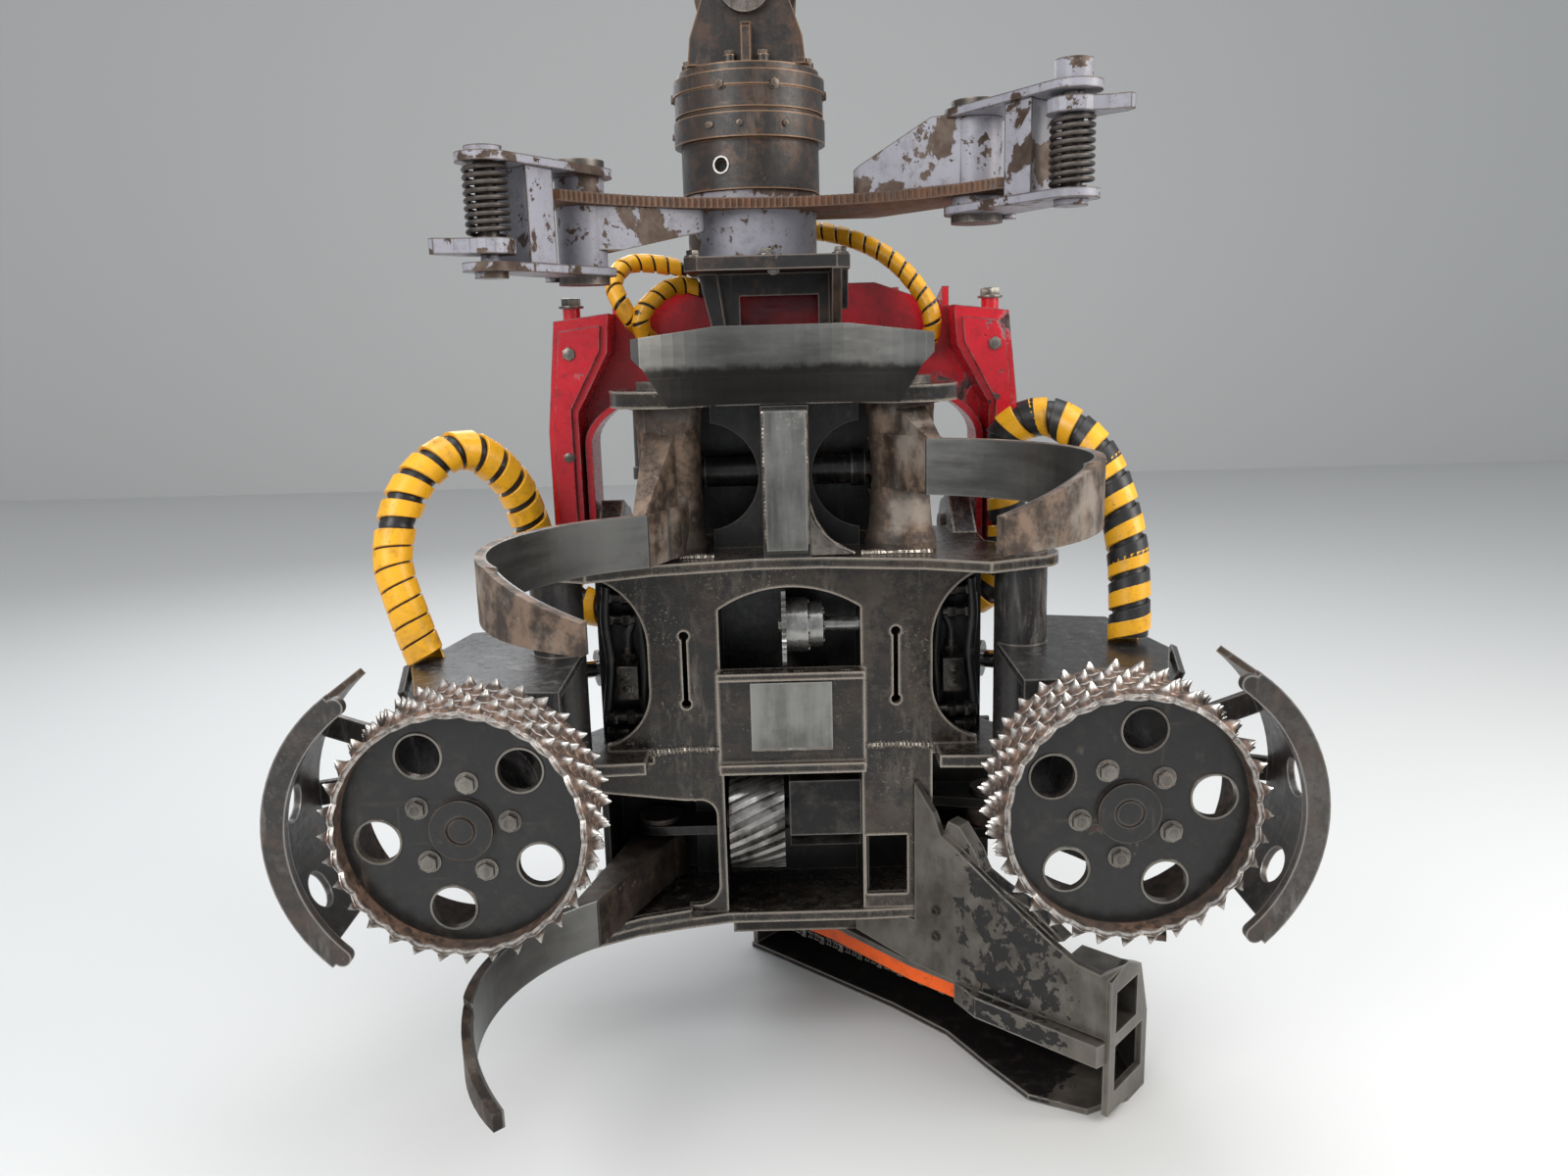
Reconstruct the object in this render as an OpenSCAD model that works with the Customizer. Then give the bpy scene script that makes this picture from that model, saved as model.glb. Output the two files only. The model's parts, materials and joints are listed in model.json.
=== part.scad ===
// Harvester head: a felling and processing head that hangs from a crane tip.
// X points to the head's right, -Y is the trunk side, +Z is up.
// Heights are given over the underside of the saw box and X from the middle of
// the head. The rotator sits left of that middle, and the whole head is then
// moved so that the bore for the crane's pin above it lies at the origin.

/* [Heights over the saw box's underside] */
// Bore for the crane's pin, over the swing pin
hanger_l = 225; // [200:5:260]
// Swing pin under the hanger
swing_h = 1955; // [1940:5:1980]
// Top face of the fixed upper frame plate
upper_plate_h = 1265; // [1250:5:1275]
// Top face of the middle frame plate
middle_plate_h = 965; // [955:5:970]
// Centre of the spiked feed rollers
feed_h = 638; // [632:1:650]
// Axis of the tilt hinge
tilt_h = 950; // [945:1:960]

/* [Hanger and rotator] */
// Place of the rotator's axis, left of the head's middle
rotator_x = -50; // [-60:1:0]
// Radius of the bore for the crane's pin
crane_pin_r = 30; // [25:1:35]
// Width of the hanger's eye along the crane's pin
hanger_w = 100; // [80:5:140]
// Radius of the swing pin
swing_pin_r = 32; // [25:1:36]
// Radius of the rotator's flanges
rotator_r = 140.5; // [135:0.5:150]
// Radius of the turning part under the flanges
rotor_r = 128.5; // [122:0.5:132]

/* [Collector] */
// Radius of the collar that carries the collector
collar_r = 121.5; // [110:0.5:124]
// Distance of a collector arm's pivot from the middle
collector_x = 340; // [335:1:350]
// Pivot's place towards the trunk
collector_y = -220; // [-230:1:-210]
// Radius of the toothed hollow that trunks are held against
hollow_r = 430; // [410:5:450]
// Number of teeth round the hollow
hollow_teeth = 74; // [40:1:90]

/* [Yoke] */
// Outer half width of the red tilt yoke at its lower ends
yoke_x = 462; // [455:1:475]
// Place of the tilt hinge behind the rotator's axis
tilt_y = 130; // [120:1:140]
// Radius of the tilt pins
tilt_pin_r = 30; // [25:1:34]

/* [Frame] */
// Half width of the frame's two channels
frame_x = 262; // [255:1:270]
// Front face of the channels
front_y = -240; // [-245:1:-235]
// Thickness of the frame's plates
plate_t = 20; // [16:1:24]
// Thickness of the channels' walls
wall_t = 14; // [10:1:18]
// Half width of the cavities in the middle
cavity_x = 130; // [120:1:135]

/* [Knives] */
// Distance of an upper knife's pivot from the middle
knife_x = 210; // [205:1:215]
// Pivot's place towards the trunk
knife_y = -180; // [-185:1:-175]
// Radius of the knives' pins
knife_pin_r = 35; // [30:1:38]
// Radius of an upper knife's curve
knife_r = 310; // [300:1:320]
// Thickness of a blade
blade_t = 16; // [12:1:20]

/* [Feed] */
// Distance of a feed arm's pivot from the middle
arm_x = 420; // [415:1:430]
// Pivot's place towards the trunk
arm_y = -250; // [-255:1:-245]
// Radius of the feed arms' pins
arm_pin_r = 30; // [25:1:34]
// Distance of a feed roller's axis from the middle
feed_x = 503; // [490:1:505]
// Front face of the feed rollers
feed_front_y = -700; // [-705:1:-695]
// Width of a feed roller
feed_w = 150; // [140:1:190]
// Radius of a feed roller's drum, without spikes
drum_r = 192; // [185:1:195]
// Height of a spike
spike_h = 20; // [14:1:22]

/* [Saw] */
// Place of the saw's pivot behind the rotator's axis
saw_y = 85; // [80:1:90]
// Direction of the stowed saw bar, from +X towards the trunk
saw_angle = 42; // [38:1:46]
// Length of the saw bar from its pivot
bar_l = 700; // [660:5:720]
// Width of the saw bar
bar_w = 78; // [70:1:84]

/* [Hidden] */
pin_h = swing_h + hanger_l;
$fn = 64;
// Radial running clearance of pins in their bores
run = 0.05;
// Gap between faces that slide past each other
slip = 0.3;

// Plan outline of a strap: two round ends and their common tangents
module strap2d(a, b, ra, rb) {
  d = norm(b - a);
  u = (b - a) / d;
  n = [-u[1], u[0]];
  s = (ra - rb) / d;
  c = sqrt(1 - s * s);
  translate(a) circle(r=ra);
  translate(b) circle(r=rb);
  polygon([a + ra * (s * u + c * n), b + rb * (s * u + c * n), b + rb * (s * u - c * n),
    a + ra * (s * u - c * n)]);
}

// Plan outline of a curved blade of one thickness, from angle a0 to a1
module arc2d(centre, r, t, a0, a1, steps=24) {
  angles = [for (i = [0:steps]) a0 + (a1 - a0) * i / steps];
  outer = [for (a = angles) centre + (r + t / 2) * [cos(a), sin(a)]];
  inner = [for (i = [steps:-1:0]) centre + (r - t / 2) * [cos(angles[i]), sin(angles[i])]];
  polygon(concat(outer, inner));
}

// Everything is drawn at its height over the underside, then set down
module stand() { translate([-rotator_x, 0, -pin_h]) children(); }

// The rotator and what is round its axis are drawn about that axis
module on_rotator() { translate([rotator_x, 0, 0]) children(); }

// Right side as drawn, left side as its mirror image
module side(s) { if (s > 0) children(); else mirror([1, 0, 0]) children(); }

// A plate lying flat from height z0 to z1
module slab(z0, z1) { translate([0, 0, z0]) linear_extrude(z1 - z0) children(); }

// A plate standing across the head from y0 to y1, its outline in X and Z
module wall_y(y0, y1) { translate([0, y1, 0]) rotate([90, 0, 0]) linear_extrude(y1 - y0) children(); }

// A plate standing along the head from x0 to x1, its outline in Y and Z
module wall_x(x0, x1) { translate([x0, 0, 0]) rotate([90, 0, 90]) linear_extrude(x1 - x0) children(); }

// A round bar along X, Y or Z
module bar_x(x0, x1, y, z, r) { translate([x0, y, z]) rotate([0, 90, 0]) cylinder(r=r, h=x1 - x0); }
module bar_y(x, y0, y1, z, r) { translate([x, y1, z]) rotate([90, 0, 0]) cylinder(r=r, h=y1 - y0); }
module bar_z(x, y, z0, z1, r) { translate([x, y, z0]) cylinder(r=r, h=z1 - z0); }

// Hanger and rotator
brake_r = 92;
brake_w = 50;
ear_r = 70;
ear_y0 = brake_w + 2;
ear_y1 = 98;
flange_top = swing_h - 129;
groove_h = flange_top - 84;
housing_bottom = groove_h - 42;

module hanger_link() color("#37302b") stand() on_rotator() difference() {
  union() {
    bar_x(-hanger_w / 2, hanger_w / 2, 0, pin_h, 62);
    bar_y(0, -brake_w, brake_w, swing_h, brake_r);
    wall_y(-38, 38) polygon([[-hanger_w / 2, pin_h], [-hanger_w / 2, pin_h - 50],
      [-78, swing_h + 60], [78, swing_h + 60],
      [hanger_w / 2, pin_h - 50], [hanger_w / 2, pin_h]]);
  }
  bar_x(-hanger_w, hanger_w, 0, pin_h, crane_pin_r);
  bar_y(0, -brake_w - 1, brake_w + 1, swing_h, swing_pin_r + run);
}

module rotator_ear(y0, y1) {
  bar_y(0, y0, y1, swing_h, ear_r);
  wall_y(y0, y1) polygon([[-105, flange_top], [-100, flange_top + 45], [-ear_r, swing_h], [ear_r, swing_h],
    [100, flange_top + 45], [105, flange_top]]);
}

module rotator_housing() color("#2e2723") stand() on_rotator() difference() {
  union() {
    bar_z(0, 0, housing_bottom, groove_h, rotator_r);
    bar_z(0, 0, groove_h, groove_h + 8, rotator_r - 8);
    bar_z(0, 0, groove_h + 8, flange_top - 40, rotator_r - 3);
    bar_z(0, 0, flange_top - 40, flange_top - 14, rotator_r);
    bar_z(0, 0, flange_top - 14, flange_top, rotator_r - 10);
    for (k = [0:11]) rotate(k * 30 + 15) bar_z(rotator_r - 28, 0, flange_top, flange_top + 13, 12);
    rotator_ear(-ear_y1, -ear_y0);
    rotator_ear(ear_y0, ear_y1);
    wall_x(-8, 8) polygon([[-ear_y1 - 28, flange_top], [-ear_y1 - 22, flange_top + 59],
      [-ear_y1, flange_top + 69], [-ear_y1, flange_top]]);
  }
  bar_y(0, -ear_y1 - 1, ear_y1 + 1, swing_h, swing_pin_r + run);
}

module swing_pin() color("#4a423b") stand() on_rotator() {
  bar_y(0, -ear_y1 - 6, ear_y1 + 6, swing_h, swing_pin_r);
  bar_y(0, -ear_y1 - 14, -ear_y1 - 0.3, swing_h, 46);
  bar_y(0, ear_y1 + 0.3, ear_y1 + 14, swing_h, 46);
}

// Turning part, collar and collector
collar_top = 1613;
collar_bottom = 1497;
plate_bottom = 1578;
plate_top = 1596;
hollow_y = -135 - hollow_r;

module rotor_body() color("#2a2522") stand() on_rotator() difference() {
  bar_z(0, 0, collar_top, housing_bottom - slip, rotor_r);
  translate([-50, -rotor_r - 1, 1655]) rotate([-90, 0, 0]) cylinder(r=12, h=30);
}

module collector_collar() color("#a7a5ad") stand() on_rotator() bar_z(0, 0, collar_bottom,
  collar_top, collar_r);

// Toothed outline of the hollow, cut from the plate
module hollow2d() {
  span = 2 * 57;
  steps = 2 * hollow_teeth;
  teeth = [for (i = [0:steps]) let (a = 90 - span / 2 + span * i / steps, r = hollow_r - (i % 2) * 7)
    [r * cos(a), hollow_y + r * sin(a)]];
  polygon(concat(teeth, [[-700, hollow_y], [700, hollow_y]]));
}

module collector_plate() color("#5b4a3e") stand() slab(plate_bottom, plate_top) difference() {
  polygon([[-392, -330], [392, -330], [408, -210], [380, -150], [190, 110], [-190, 110],
    [-380, -150], [-408, -210]]);
  hollow2d();
  translate([rotator_x, 0]) circle(r=collar_r + run);
  for (s = [-1, 1]) translate([s * collector_x, collector_y]) circle(r=collector_pin_r + run);
}

// Collector arms: lower and upper plate of the left and of the right one
collector_pin_r = 26;
collector_t = 14;
collector_l = 237;
collector_a = -62;
collector_z = [[1462, 1638], [1548, 1718]];

module bracket_pins() color("#6a625c") stand() {
  for (s = [-1, 1]) collector_pin(s);
  for (s = [-1, 1]) side(s) tilt_pins();
}

module collector_pin(s) {
  z = collector_z[s < 0 ? 0 : 1];
  bar_z(s * collector_x, collector_y, z[0] - 14, z[1] + 14, collector_pin_r);
  bar_z(s * collector_x, collector_y, z[0] - 14, z[0] - slip, 44);
  bar_z(s * collector_x, collector_y, z[1] + slip, z[1] + 14, 44);
}

// Claw in plan: an eye round the spring's bolt and a hooked tongue, at the origin
module claw2d() polygon(concat(
  [for (a = [60:20:300]) 40 * [cos(a), sin(a)]],
  [[44, -38], [72, -52], [82, -42], [78, -18], [58, 2], [42, 24]]));

// Arm as on the right: pivot, box web, tail behind the pivot, spring bolt and claw
module collector_arm(s) color("#a7a5ad") stand() side(s) {
  z = collector_z[s < 0 ? 0 : 1];
  pivot = [collector_x, collector_y];
  u = [cos(collector_a), sin(collector_a)];
  tip = pivot + collector_l * u;
  tail = pivot + 205 * [cos(152), sin(152)];
  tail_z = s < 0 ? [collar_bottom + 8, plate_bottom - slip] : [plate_top + slip, z[1] - 8];
  difference() {
    union() {
      slab(z[0], z[0] + collector_t) strap2d(pivot, tip, 56, 44);
      slab(z[1] - collector_t, z[1]) strap2d(pivot, tip, 56, 44);
      slab(z[0] + 1, plate_bottom - slip) translate(pivot) circle(r=42);
      slab(plate_top + slip, z[1] - 1) translate(pivot) circle(r=42);
      intersection() {
        slab(tail_z[0], tail_z[1]) difference() {
          strap2d(pivot, tail, 40, 24);
          strap2d(pivot + 70 * [cos(152), sin(152)], tail, 22, 10);
        }
        translate([pivot[0], pivot[1], 0]) rotate(152) wall_y(-60, 60) polygon(s < 0 ?
          [[-50, tail_z[0]], [60, tail_z[0]], [240, tail_z[1] - 34], [240, tail_z[1]], [-50, tail_z[1]]] :
          [[-50, tail_z[0]], [240, tail_z[0]], [240, tail_z[0] + 34], [70, tail_z[1]], [-50, tail_z[1]]]);
      }
      slab(z[0] + 1, z[1] - 1) difference() {
        strap2d(pivot, tip, 44, 40);
        translate(pivot) circle(r=132);
        translate(tip) circle(r=62);
      }
      bar_z(tip[0], tip[1], z[0] - 10, z[1] + 1, 15);
      bar_z(tip[0], tip[1], z[0] - 10, z[0] + 1, 26);
      bar_z(tip[0], tip[1], z[1] - 1, z[1] + (s < 0 ? 10 : 32), 29);
      for (h = [0, 1]) bar_z(pivot[0] + 58, pivot[1] + 12, z[h] - (h ? 1 : 7), z[h] + (h ? 7 : 1), 12);
      slab(claw_z(s)[0], claw_z(s)[1]) translate(tip) rotate(collector_a + 66) claw2d();
    }
    bar_z(pivot[0], pivot[1], z[0] - 1, z[1] + 1, collector_pin_r + run);
  }
}
function claw_z(s) = s < 0 ? [collector_z[0][0] + 26,
  collector_z[0][0] + 50] : [collector_z[1][1] - 46, collector_z[1][1] - 24];

module collector_spring(s) color("#3d3833") stand() side(s) {
  z = collector_z[s < 0 ? 0 : 1];
  u = [cos(collector_a), sin(collector_a)];
  tip = [collector_x, collector_y] + collector_l * u;
  z0 = s < 0 ? claw_z(s)[1] + slip : z[0] + collector_t + slip;
  z1 = s < 0 ? z[1] - collector_t - slip : claw_z(s)[0] - slip;
  coils = 10;
  pitch = (z1 - z0) / coils;
  translate([tip[0], tip[1], z0]) rotate_extrude() polygon(concat([[15.5, 0]],
    [for (i = [0:coils - 1]) each [[29, i * pitch], [36, (i + 0.3) * pitch], [36, (i + 0.7)
      * pitch], [29, (i + 1) * pitch]]],
    [[15.5, z1 - z0]]));
}

// Bracket between collar and yoke
bracket_x = [-175, 128];
bracket_bottom = 1322;

module mount_bracket() color("#1f1c1b") stand() {
  slab(collar_bottom - 25, collar_bottom)
    polygon([[bracket_x[0] + 25, -140], [bracket_x[1] - 25, -140], [bracket_x[1], -115],
      [bracket_x[1], 150], [bracket_x[0], 150],
      [bracket_x[0], -115]]);
  wall_x(94, 112) polygon([[-132, collar_bottom - 24], [109, collar_bottom - 24],
    [109, bracket_bottom], [-70, bracket_bottom]]);
  wall_x(112, bracket_x[1] - 3) polygon([[-100, collar_bottom - 24], [-60, collar_bottom - 24],
    [-60, 1400], [-80, 1400]]);
  wall_y(-24, -8) polygon([[-156, collar_bottom - 24], [-120, collar_bottom - 24],
    [-100, bracket_bottom], [-122, bracket_bottom]]);
  wall_y(-8, 10) difference() {
    polygon([[-156, collar_bottom - 24], [96, collar_bottom - 24], [96, bracket_bottom],
      [-122, bracket_bottom]]);
    translate([-78, bracket_bottom + 50]) square([150, 58]);
  }
  wall_x(-122, -104) polygon([[-8, 1400], [109, 1400], [109, bracket_bottom], [-8, bracket_bottom]]);
}

// Yoke: arched plate, its front flange, shouldered box arms and hinge eyes
yoke_front = 0;
yoke_back = 130;
yoke_plate_t = 20;
yoke_foot = tilt_h - 45;
arch_x = yoke_x - 80;
arch_z = 1150;
arch_rise = 140;
arch_t = 14;
arm_in = arch_x + 21;

// Arched opening of the yoke, grown by g
module arch2d(g) polygon(concat([[-arch_x - g, yoke_foot - 100], [arch_x + g, yoke_foot - 100]],
  [for (a = [0:5:180]) [(arch_x + g) * cos(a), arch_z + (arch_rise + g) * sin(a)]]));

module yoke_arm2d() polygon([[arm_in, yoke_foot], [yoke_x, yoke_foot], [yoke_x, 1180], [yoke_x - 22, 1392],
  [yoke_x - 128, 1405], [yoke_x - 122, 1330], [arm_in, 1215]]);

module tilt_yoke() color("#b3202b") stand() difference() {
  union() {
    wall_y(yoke_back - yoke_plate_t, yoke_back) difference() {
      polygon([[-yoke_x, yoke_foot], [yoke_x, yoke_foot], [yoke_x, 1180], [yoke_x - 22, 1392],
        [yoke_x - 128, 1405], [190, 1455],
        [-190, 1455], [128 - yoke_x, 1405], [22 - yoke_x, 1392], [-yoke_x, 1180]]);
      arch2d(0);
    }
    wall_y(yoke_front + 20, yoke_back - yoke_plate_t + 1) difference() {
      intersection() {
        arch2d(arch_t);
        translate([-yoke_x, yoke_foot]) square([2 * yoke_x, 600]);
      }
      arch2d(0);
    }
    for (s = [-1, 1]) side(s) {
      wall_y(yoke_front, yoke_back - yoke_plate_t + 1) yoke_arm2d();
      wall_y(yoke_front - 10, yoke_front + 1) intersection() {
        yoke_arm2d();
        polygon([[arm_in + 12, yoke_foot + 14], [yoke_x - 12, yoke_foot + 14], [yoke_x - 12, 1180],
          [yoke_x - 32, 1372],
          [yoke_x - 112, 1382], [yoke_x - 108, 1334], [arm_in + 12, 1222]]);
      }
      wall_x(arch_x + 2, yoke_x) translate([tilt_y, tilt_h]) circle(r=62);
      bar_z(yoke_x - 48, 62, 1380, 1418, 17);
    }
    slab(1296, bracket_bottom) translate([-180, -75]) square([360, 190]);
    wall_x(-9, 9) polygon([[-70, 1300], [yoke_back, 1300], [yoke_back, bracket_bottom - 1],
      [-70, bracket_bottom - 1]]);
    for (s = [-1, 1]) side(s) for (x = tilt_ear_x) wall_x(x[0], x[1]) difference() {
      union() {
        translate(barrel_pin) circle(r=34);
        polygon([[yoke_back - 1, 1350], [yoke_back - 1, 1445], barrel_pin + [10, 32],
          barrel_pin + [0, -34]]);
      }
    }
  }
  for (s = [-1, 1]) side(s) {
    bar_x(arch_x - 10, yoke_x + 10, tilt_y, tilt_h, tilt_pin_r + run);
    bar_x(tilt_ear_x[0][0] - 1, tilt_ear_x[1][1] + 1, barrel_pin[0], barrel_pin[1], cyl_pin_r + run);
  }
}

module tilt_pins() {
  bar_x(lug_x[0] - 8, yoke_x + 4, tilt_y, tilt_h, tilt_pin_r);
  bar_x(yoke_x + slip, yoke_x + 12, tilt_y, tilt_h, 46);
  bar_x(tilt_ear_x[0][0] - 6, tilt_ear_x[1][1] + 6, barrel_pin[0], barrel_pin[1], cyl_pin_r);
}

// Tilt cylinders: barrel eye on the yoke, rod eye beside the frame's lug
lug_x = [arch_x - 52, arch_x - 6];
cyl_pin_r = 17;
tilt_ear_x = [[226, 240], [328, 342]];
tilt_cyl_x = 284;
tilt_eye_w = 48;
barrel_pin = [205, 1392];
rod_pin = [180, 863];
cyl_r = 36;
cyl_rod_r = 20;

// A cylinder's barrel from its eye at the origin along +X, gland at length l
module barrel(l, r, rod_r, eye_w, eye_r=30) difference() {
  union() {
    translate([0, 0, -eye_w / 2]) cylinder(r=eye_r, h=eye_w);
    translate([eye_r - 8, 0, 0]) rotate([0, 90, 0]) cylinder(r=r - 6, h=20);
    translate([eye_r + 6, 0, 0]) rotate([0, 90, 0]) cylinder(r=r, h=l - eye_r - 30);
    translate([l - 26, 0, 0]) rotate([0, 90, 0]) cylinder(r=r + 4, h=26);
  }
  translate([0, 0, -eye_w]) cylinder(r=cyl_pin_r + run, h=2 * eye_w);
  translate([eye_r + 25, 0, 0]) rotate([0, 90, 0]) cylinder(r=rod_r + run, h=l);
}

// A cylinder's rod on the same axis, from x0 inside the barrel to its eye at x1
module rod(x0, x1, rod_r, eye_w, eye_r=28) {
  translate([x0, 0, 0]) rotate([0, 90, 0]) cylinder(r=rod_r, h=x1 - x0 - eye_r + 6);
  translate([x1, 0, -eye_w / 2]) cylinder(r=eye_r, h=eye_w);
}

// Places a cylinder drawn along +X between two points in Y and Z at a given X
module in_yz(x, a, b) translate([x, a[0], a[1]]) rotate([atan2(b[1] - a[1], b[0] - a[0]), 0, 0])
  rotate([90, 0, 90]) children();

// Places a cylinder drawn along +X between two points in plan at a given height
module in_plan(z, a, b) translate([a[0], a[1], z]) rotate(atan2(b[1] - a[1], b[0] - a[0])) children();

tilt_barrel_l = 330;
module tilt_barrel(s) color("#26211f") stand() side(s) in_yz(tilt_cyl_x, barrel_pin, rod_pin)
  barrel(tilt_barrel_l, cyl_r, cyl_rod_r, 84);
module tilt_rod(s) color("#b9b6b0") stand() side(s) in_yz(tilt_cyl_x, barrel_pin, rod_pin)
  rod(tilt_barrel_l - 110, norm(rod_pin - barrel_pin), cyl_rod_r, tilt_eye_w);

// Frame plates
upper_z = [upper_plate_h - 30, upper_plate_h];
middle_z = [middle_plate_h - plate_t, middle_plate_h];
shelf_z = [feed_h - 61, feed_h - 38];
bottom_z = [250, 270];
back_y = -100;
low_back_y = -62;
pocket_x = 368;

module upper_plate() color("#262220") stand() slab(upper_z[0], upper_z[1]) difference() {
  union() {
    polygon([[-250, -238], [-120, -225], [120, -225], [250, -238], [250, -30], [170, 36],
      [-170, 36], [-250, -30]]);
    for (s = [-1, 1]) translate([s * knife_x, knife_y + 10]) circle(r=105);
  }
  for (s = [-1, 1]) translate([s * knife_x, knife_y]) circle(r=knife_pin_r + run);
}

// Column behind the trunk wear plate, with gussets curving out, and the wall at the back
module upper_walls() color("#1c1918") stand() {
  slab(middle_z[1], upper_z[0]) translate([-42, -262]) square([84, 140]);
  for (s = [-1, 1]) side(s) wall_y(-142, -124) difference() {
    translate([41, middle_z[1]]) square([96, upper_z[0] - middle_z[1]]);
    translate([150, (middle_z[1] + upper_z[0]) / 2]) circle(r=100);
  }
  wall_y(20, 36) translate([-250, middle_z[1]]) square([500, upper_z[0] - middle_z[1]]);
}

module middle_plate() color("#262220") stand() difference() {
  union() {
    slab(middle_z[0], middle_z[1]) {
      polygon([[-430, -315], [-350, -350], [-240, -300], [-60, -262], [60, -262], [240, -300],
        [350, -350], [430, -315], [430, -190],
        [lug_x[1], -130], [lug_x[1], 60], [-lug_x[1], 60], [-lug_x[1], -130], [-430, -190]]);
      for (s = [-1, 1]) translate([s * arm_x, arm_y]) circle(r=66);
    }
    for (s = [-1, 1]) side(s) wall_x(lug_x[0], lug_x[1]) {
      translate([tilt_y, tilt_h]) circle(r=62);
      polygon([[-60, middle_z[0] + 1], [60, middle_z[1] + 70], [tilt_y, tilt_h + 62],
        [tilt_y, tilt_h - 62], [40, middle_z[0] - 50]]);
      strap2d([tilt_y, tilt_h], rod_pin, 62, 31);
    }
    for (s = [-1, 1]) side(s) bar_x(tilt_cyl_x + tilt_eye_w / 2 + slip, lug_x[0] + 1, rod_pin[0],
      rod_pin[1], 24);
  }
  for (s = [-1, 1]) side(s) {
    bar_z(knife_x, knife_y, middle_z[0] - 1, middle_z[1] + 1, knife_pin_r + run);
    bar_z(arm_x, arm_y, middle_z[0] - 1, middle_z[1] + 1, arm_pin_r + run);
    bar_x(lug_x[0] - 1, lug_x[1] + 1, tilt_y, tilt_h, tilt_pin_r + run);
  }
}

// Front skin: two channel faces, ledges and cavities between them
module front_skin() color("#2a2624") stand() {
  skin_face();
  wall_y(front_y - 12, front_y + 1) translate([-cavity_x - 6, 577]) square([2 * cavity_x + 12, 175]);
  for (z = [[738, 752], [558, 577]]) slab(z[0], z[1]) translate([-cavity_x - 6, front_y - 26])
    square([2 * cavity_x + 12, 30]);
}

// Opening of the lower left pocket, with round corners towards the middle
module pocket2d(x) {
  translate([-420, 286]) square([420 - x - 42, 214]);
  translate([-x - 43, 328]) square([43, 140]);
  translate([-x - 42, 328]) circle(r=42);
  translate([-x - 32, 468]) circle(r=32);
}

module skin_face() wall_y(front_y, front_y + wall_t) difference() {
  union() {
    translate([-345, shelf_z[1]]) square([690, middle_z[0] - shelf_z[1]]);
    polygon([[-205, bottom_z[1]], [frame_x, bottom_z[1]], [frame_x, shelf_z[0]],
      [-pocket_x, shelf_z[0]], [-pocket_x, 520], [-205, 500]]);
    translate([-frame_x, shelf_z[0] - 1]) square([2 * frame_x, shelf_z[1] - shelf_z[0] + 2]);
  }
  pocket2d(cavity_x + 16);
  for (s = [-1, 1]) side(s) {
    translate([frame_x + 140, 800]) circle(r=140);
    translate([frame_x + 110, 720]) circle(r=110);
    translate([frame_x, 715]) square([200, 90]);
    translate([190, 690]) square([9, 130]);
    for (z = [690, 820]) translate([194.5, z]) circle(r=9);
  }
  intersection() {
    translate([-cavity_x, 752]) square([2 * cavity_x, 160]);
    translate([0, 675]) circle(r=232);
  }
  translate([-cavity_x, bottom_z[1] - 1]) square([2 * cavity_x, 560 - bottom_z[1]]);
  translate([136, 300]) square([78, 120]);
}

module channel_walls() color("#1c1918") stand() {
  for (s = [-1, 1]) side(s) {
    slab(bottom_z[1], shelf_z[0]) translate([cavity_x, front_y + wall_t]) square(
      [12, low_back_y - front_y - wall_t]);
    slab(shelf_z[1], middle_z[0]) translate([cavity_x, front_y + wall_t]) square(
      [12, back_y - front_y - wall_t]);
    slab(shelf_z[1], middle_z[0]) translate([frame_x - 12, front_y + wall_t]) square(
      [12, back_y - front_y - wall_t]);
  }
  slab(bottom_z[1], shelf_z[0]) {
    translate([-200, low_back_y]) square([200 + frame_x, 12]);
    translate([-200, low_back_y]) square([12, 44]);
    translate([-pocket_x, low_back_y + 32]) square([pocket_x - 190, 12]);
    translate([-pocket_x, -205]) square([12, low_back_y + 205 + 33]);
    translate([frame_x - 12, low_back_y]) square([12, 52]);
    translate([frame_x - 1, low_back_y + 40]) square([pocket_x - frame_x + 40, 12]);
  }
  slab(shelf_z[1], middle_z[0]) translate([-frame_x, back_y]) square([2 * frame_x, 12]);
  // Dark backs of the round cut-outs at the sides
  slab(shelf_z[1], middle_z[0]) for (s = [-1, 1]) side(s) translate([frame_x - 1, -152]) square([104, 10]);
  // Ears of the feed arms' cylinders
  for (s = [-1, 1]) side(s) for (z = [-56, 42]) slab(feed_cyl_z + z, feed_cyl_z + z + 14) difference() {
    strap2d(feed_anchor, [feed_anchor[0], back_y + 4], 30, 34);
    translate(feed_anchor) circle(r=cyl_pin_r + run);
    translate([0, back_y - 100]) square([400, 100]);
  }
  // Lugs of the lower knives
  for (z = [[low_z[1][0] - 26, low_z[1][0] - 4], [low_z[1][1] + 4, low_z[1][1] + 24]]) slab(z[0],
    z[1]) difference() {
    strap2d([low_x[1], low_y], [225, -60], 48, 36);
    translate([low_x[1], low_y]) circle(r=low_pin_r + run);
    translate([0, -200]) square([frame_x - 12, 300]);
  }
  slab(low_z[0][1] + 6, low_z[0][1] + 24) difference() {
    strap2d([-low_x[0], low_y], [-cavity_x - 20, low_y], 48, 48);
    translate([-low_x[0], low_y]) circle(r=low_pin_r + run);
    translate([-cavity_x - 1, -300]) square([200, 400]);
  }
}

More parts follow.
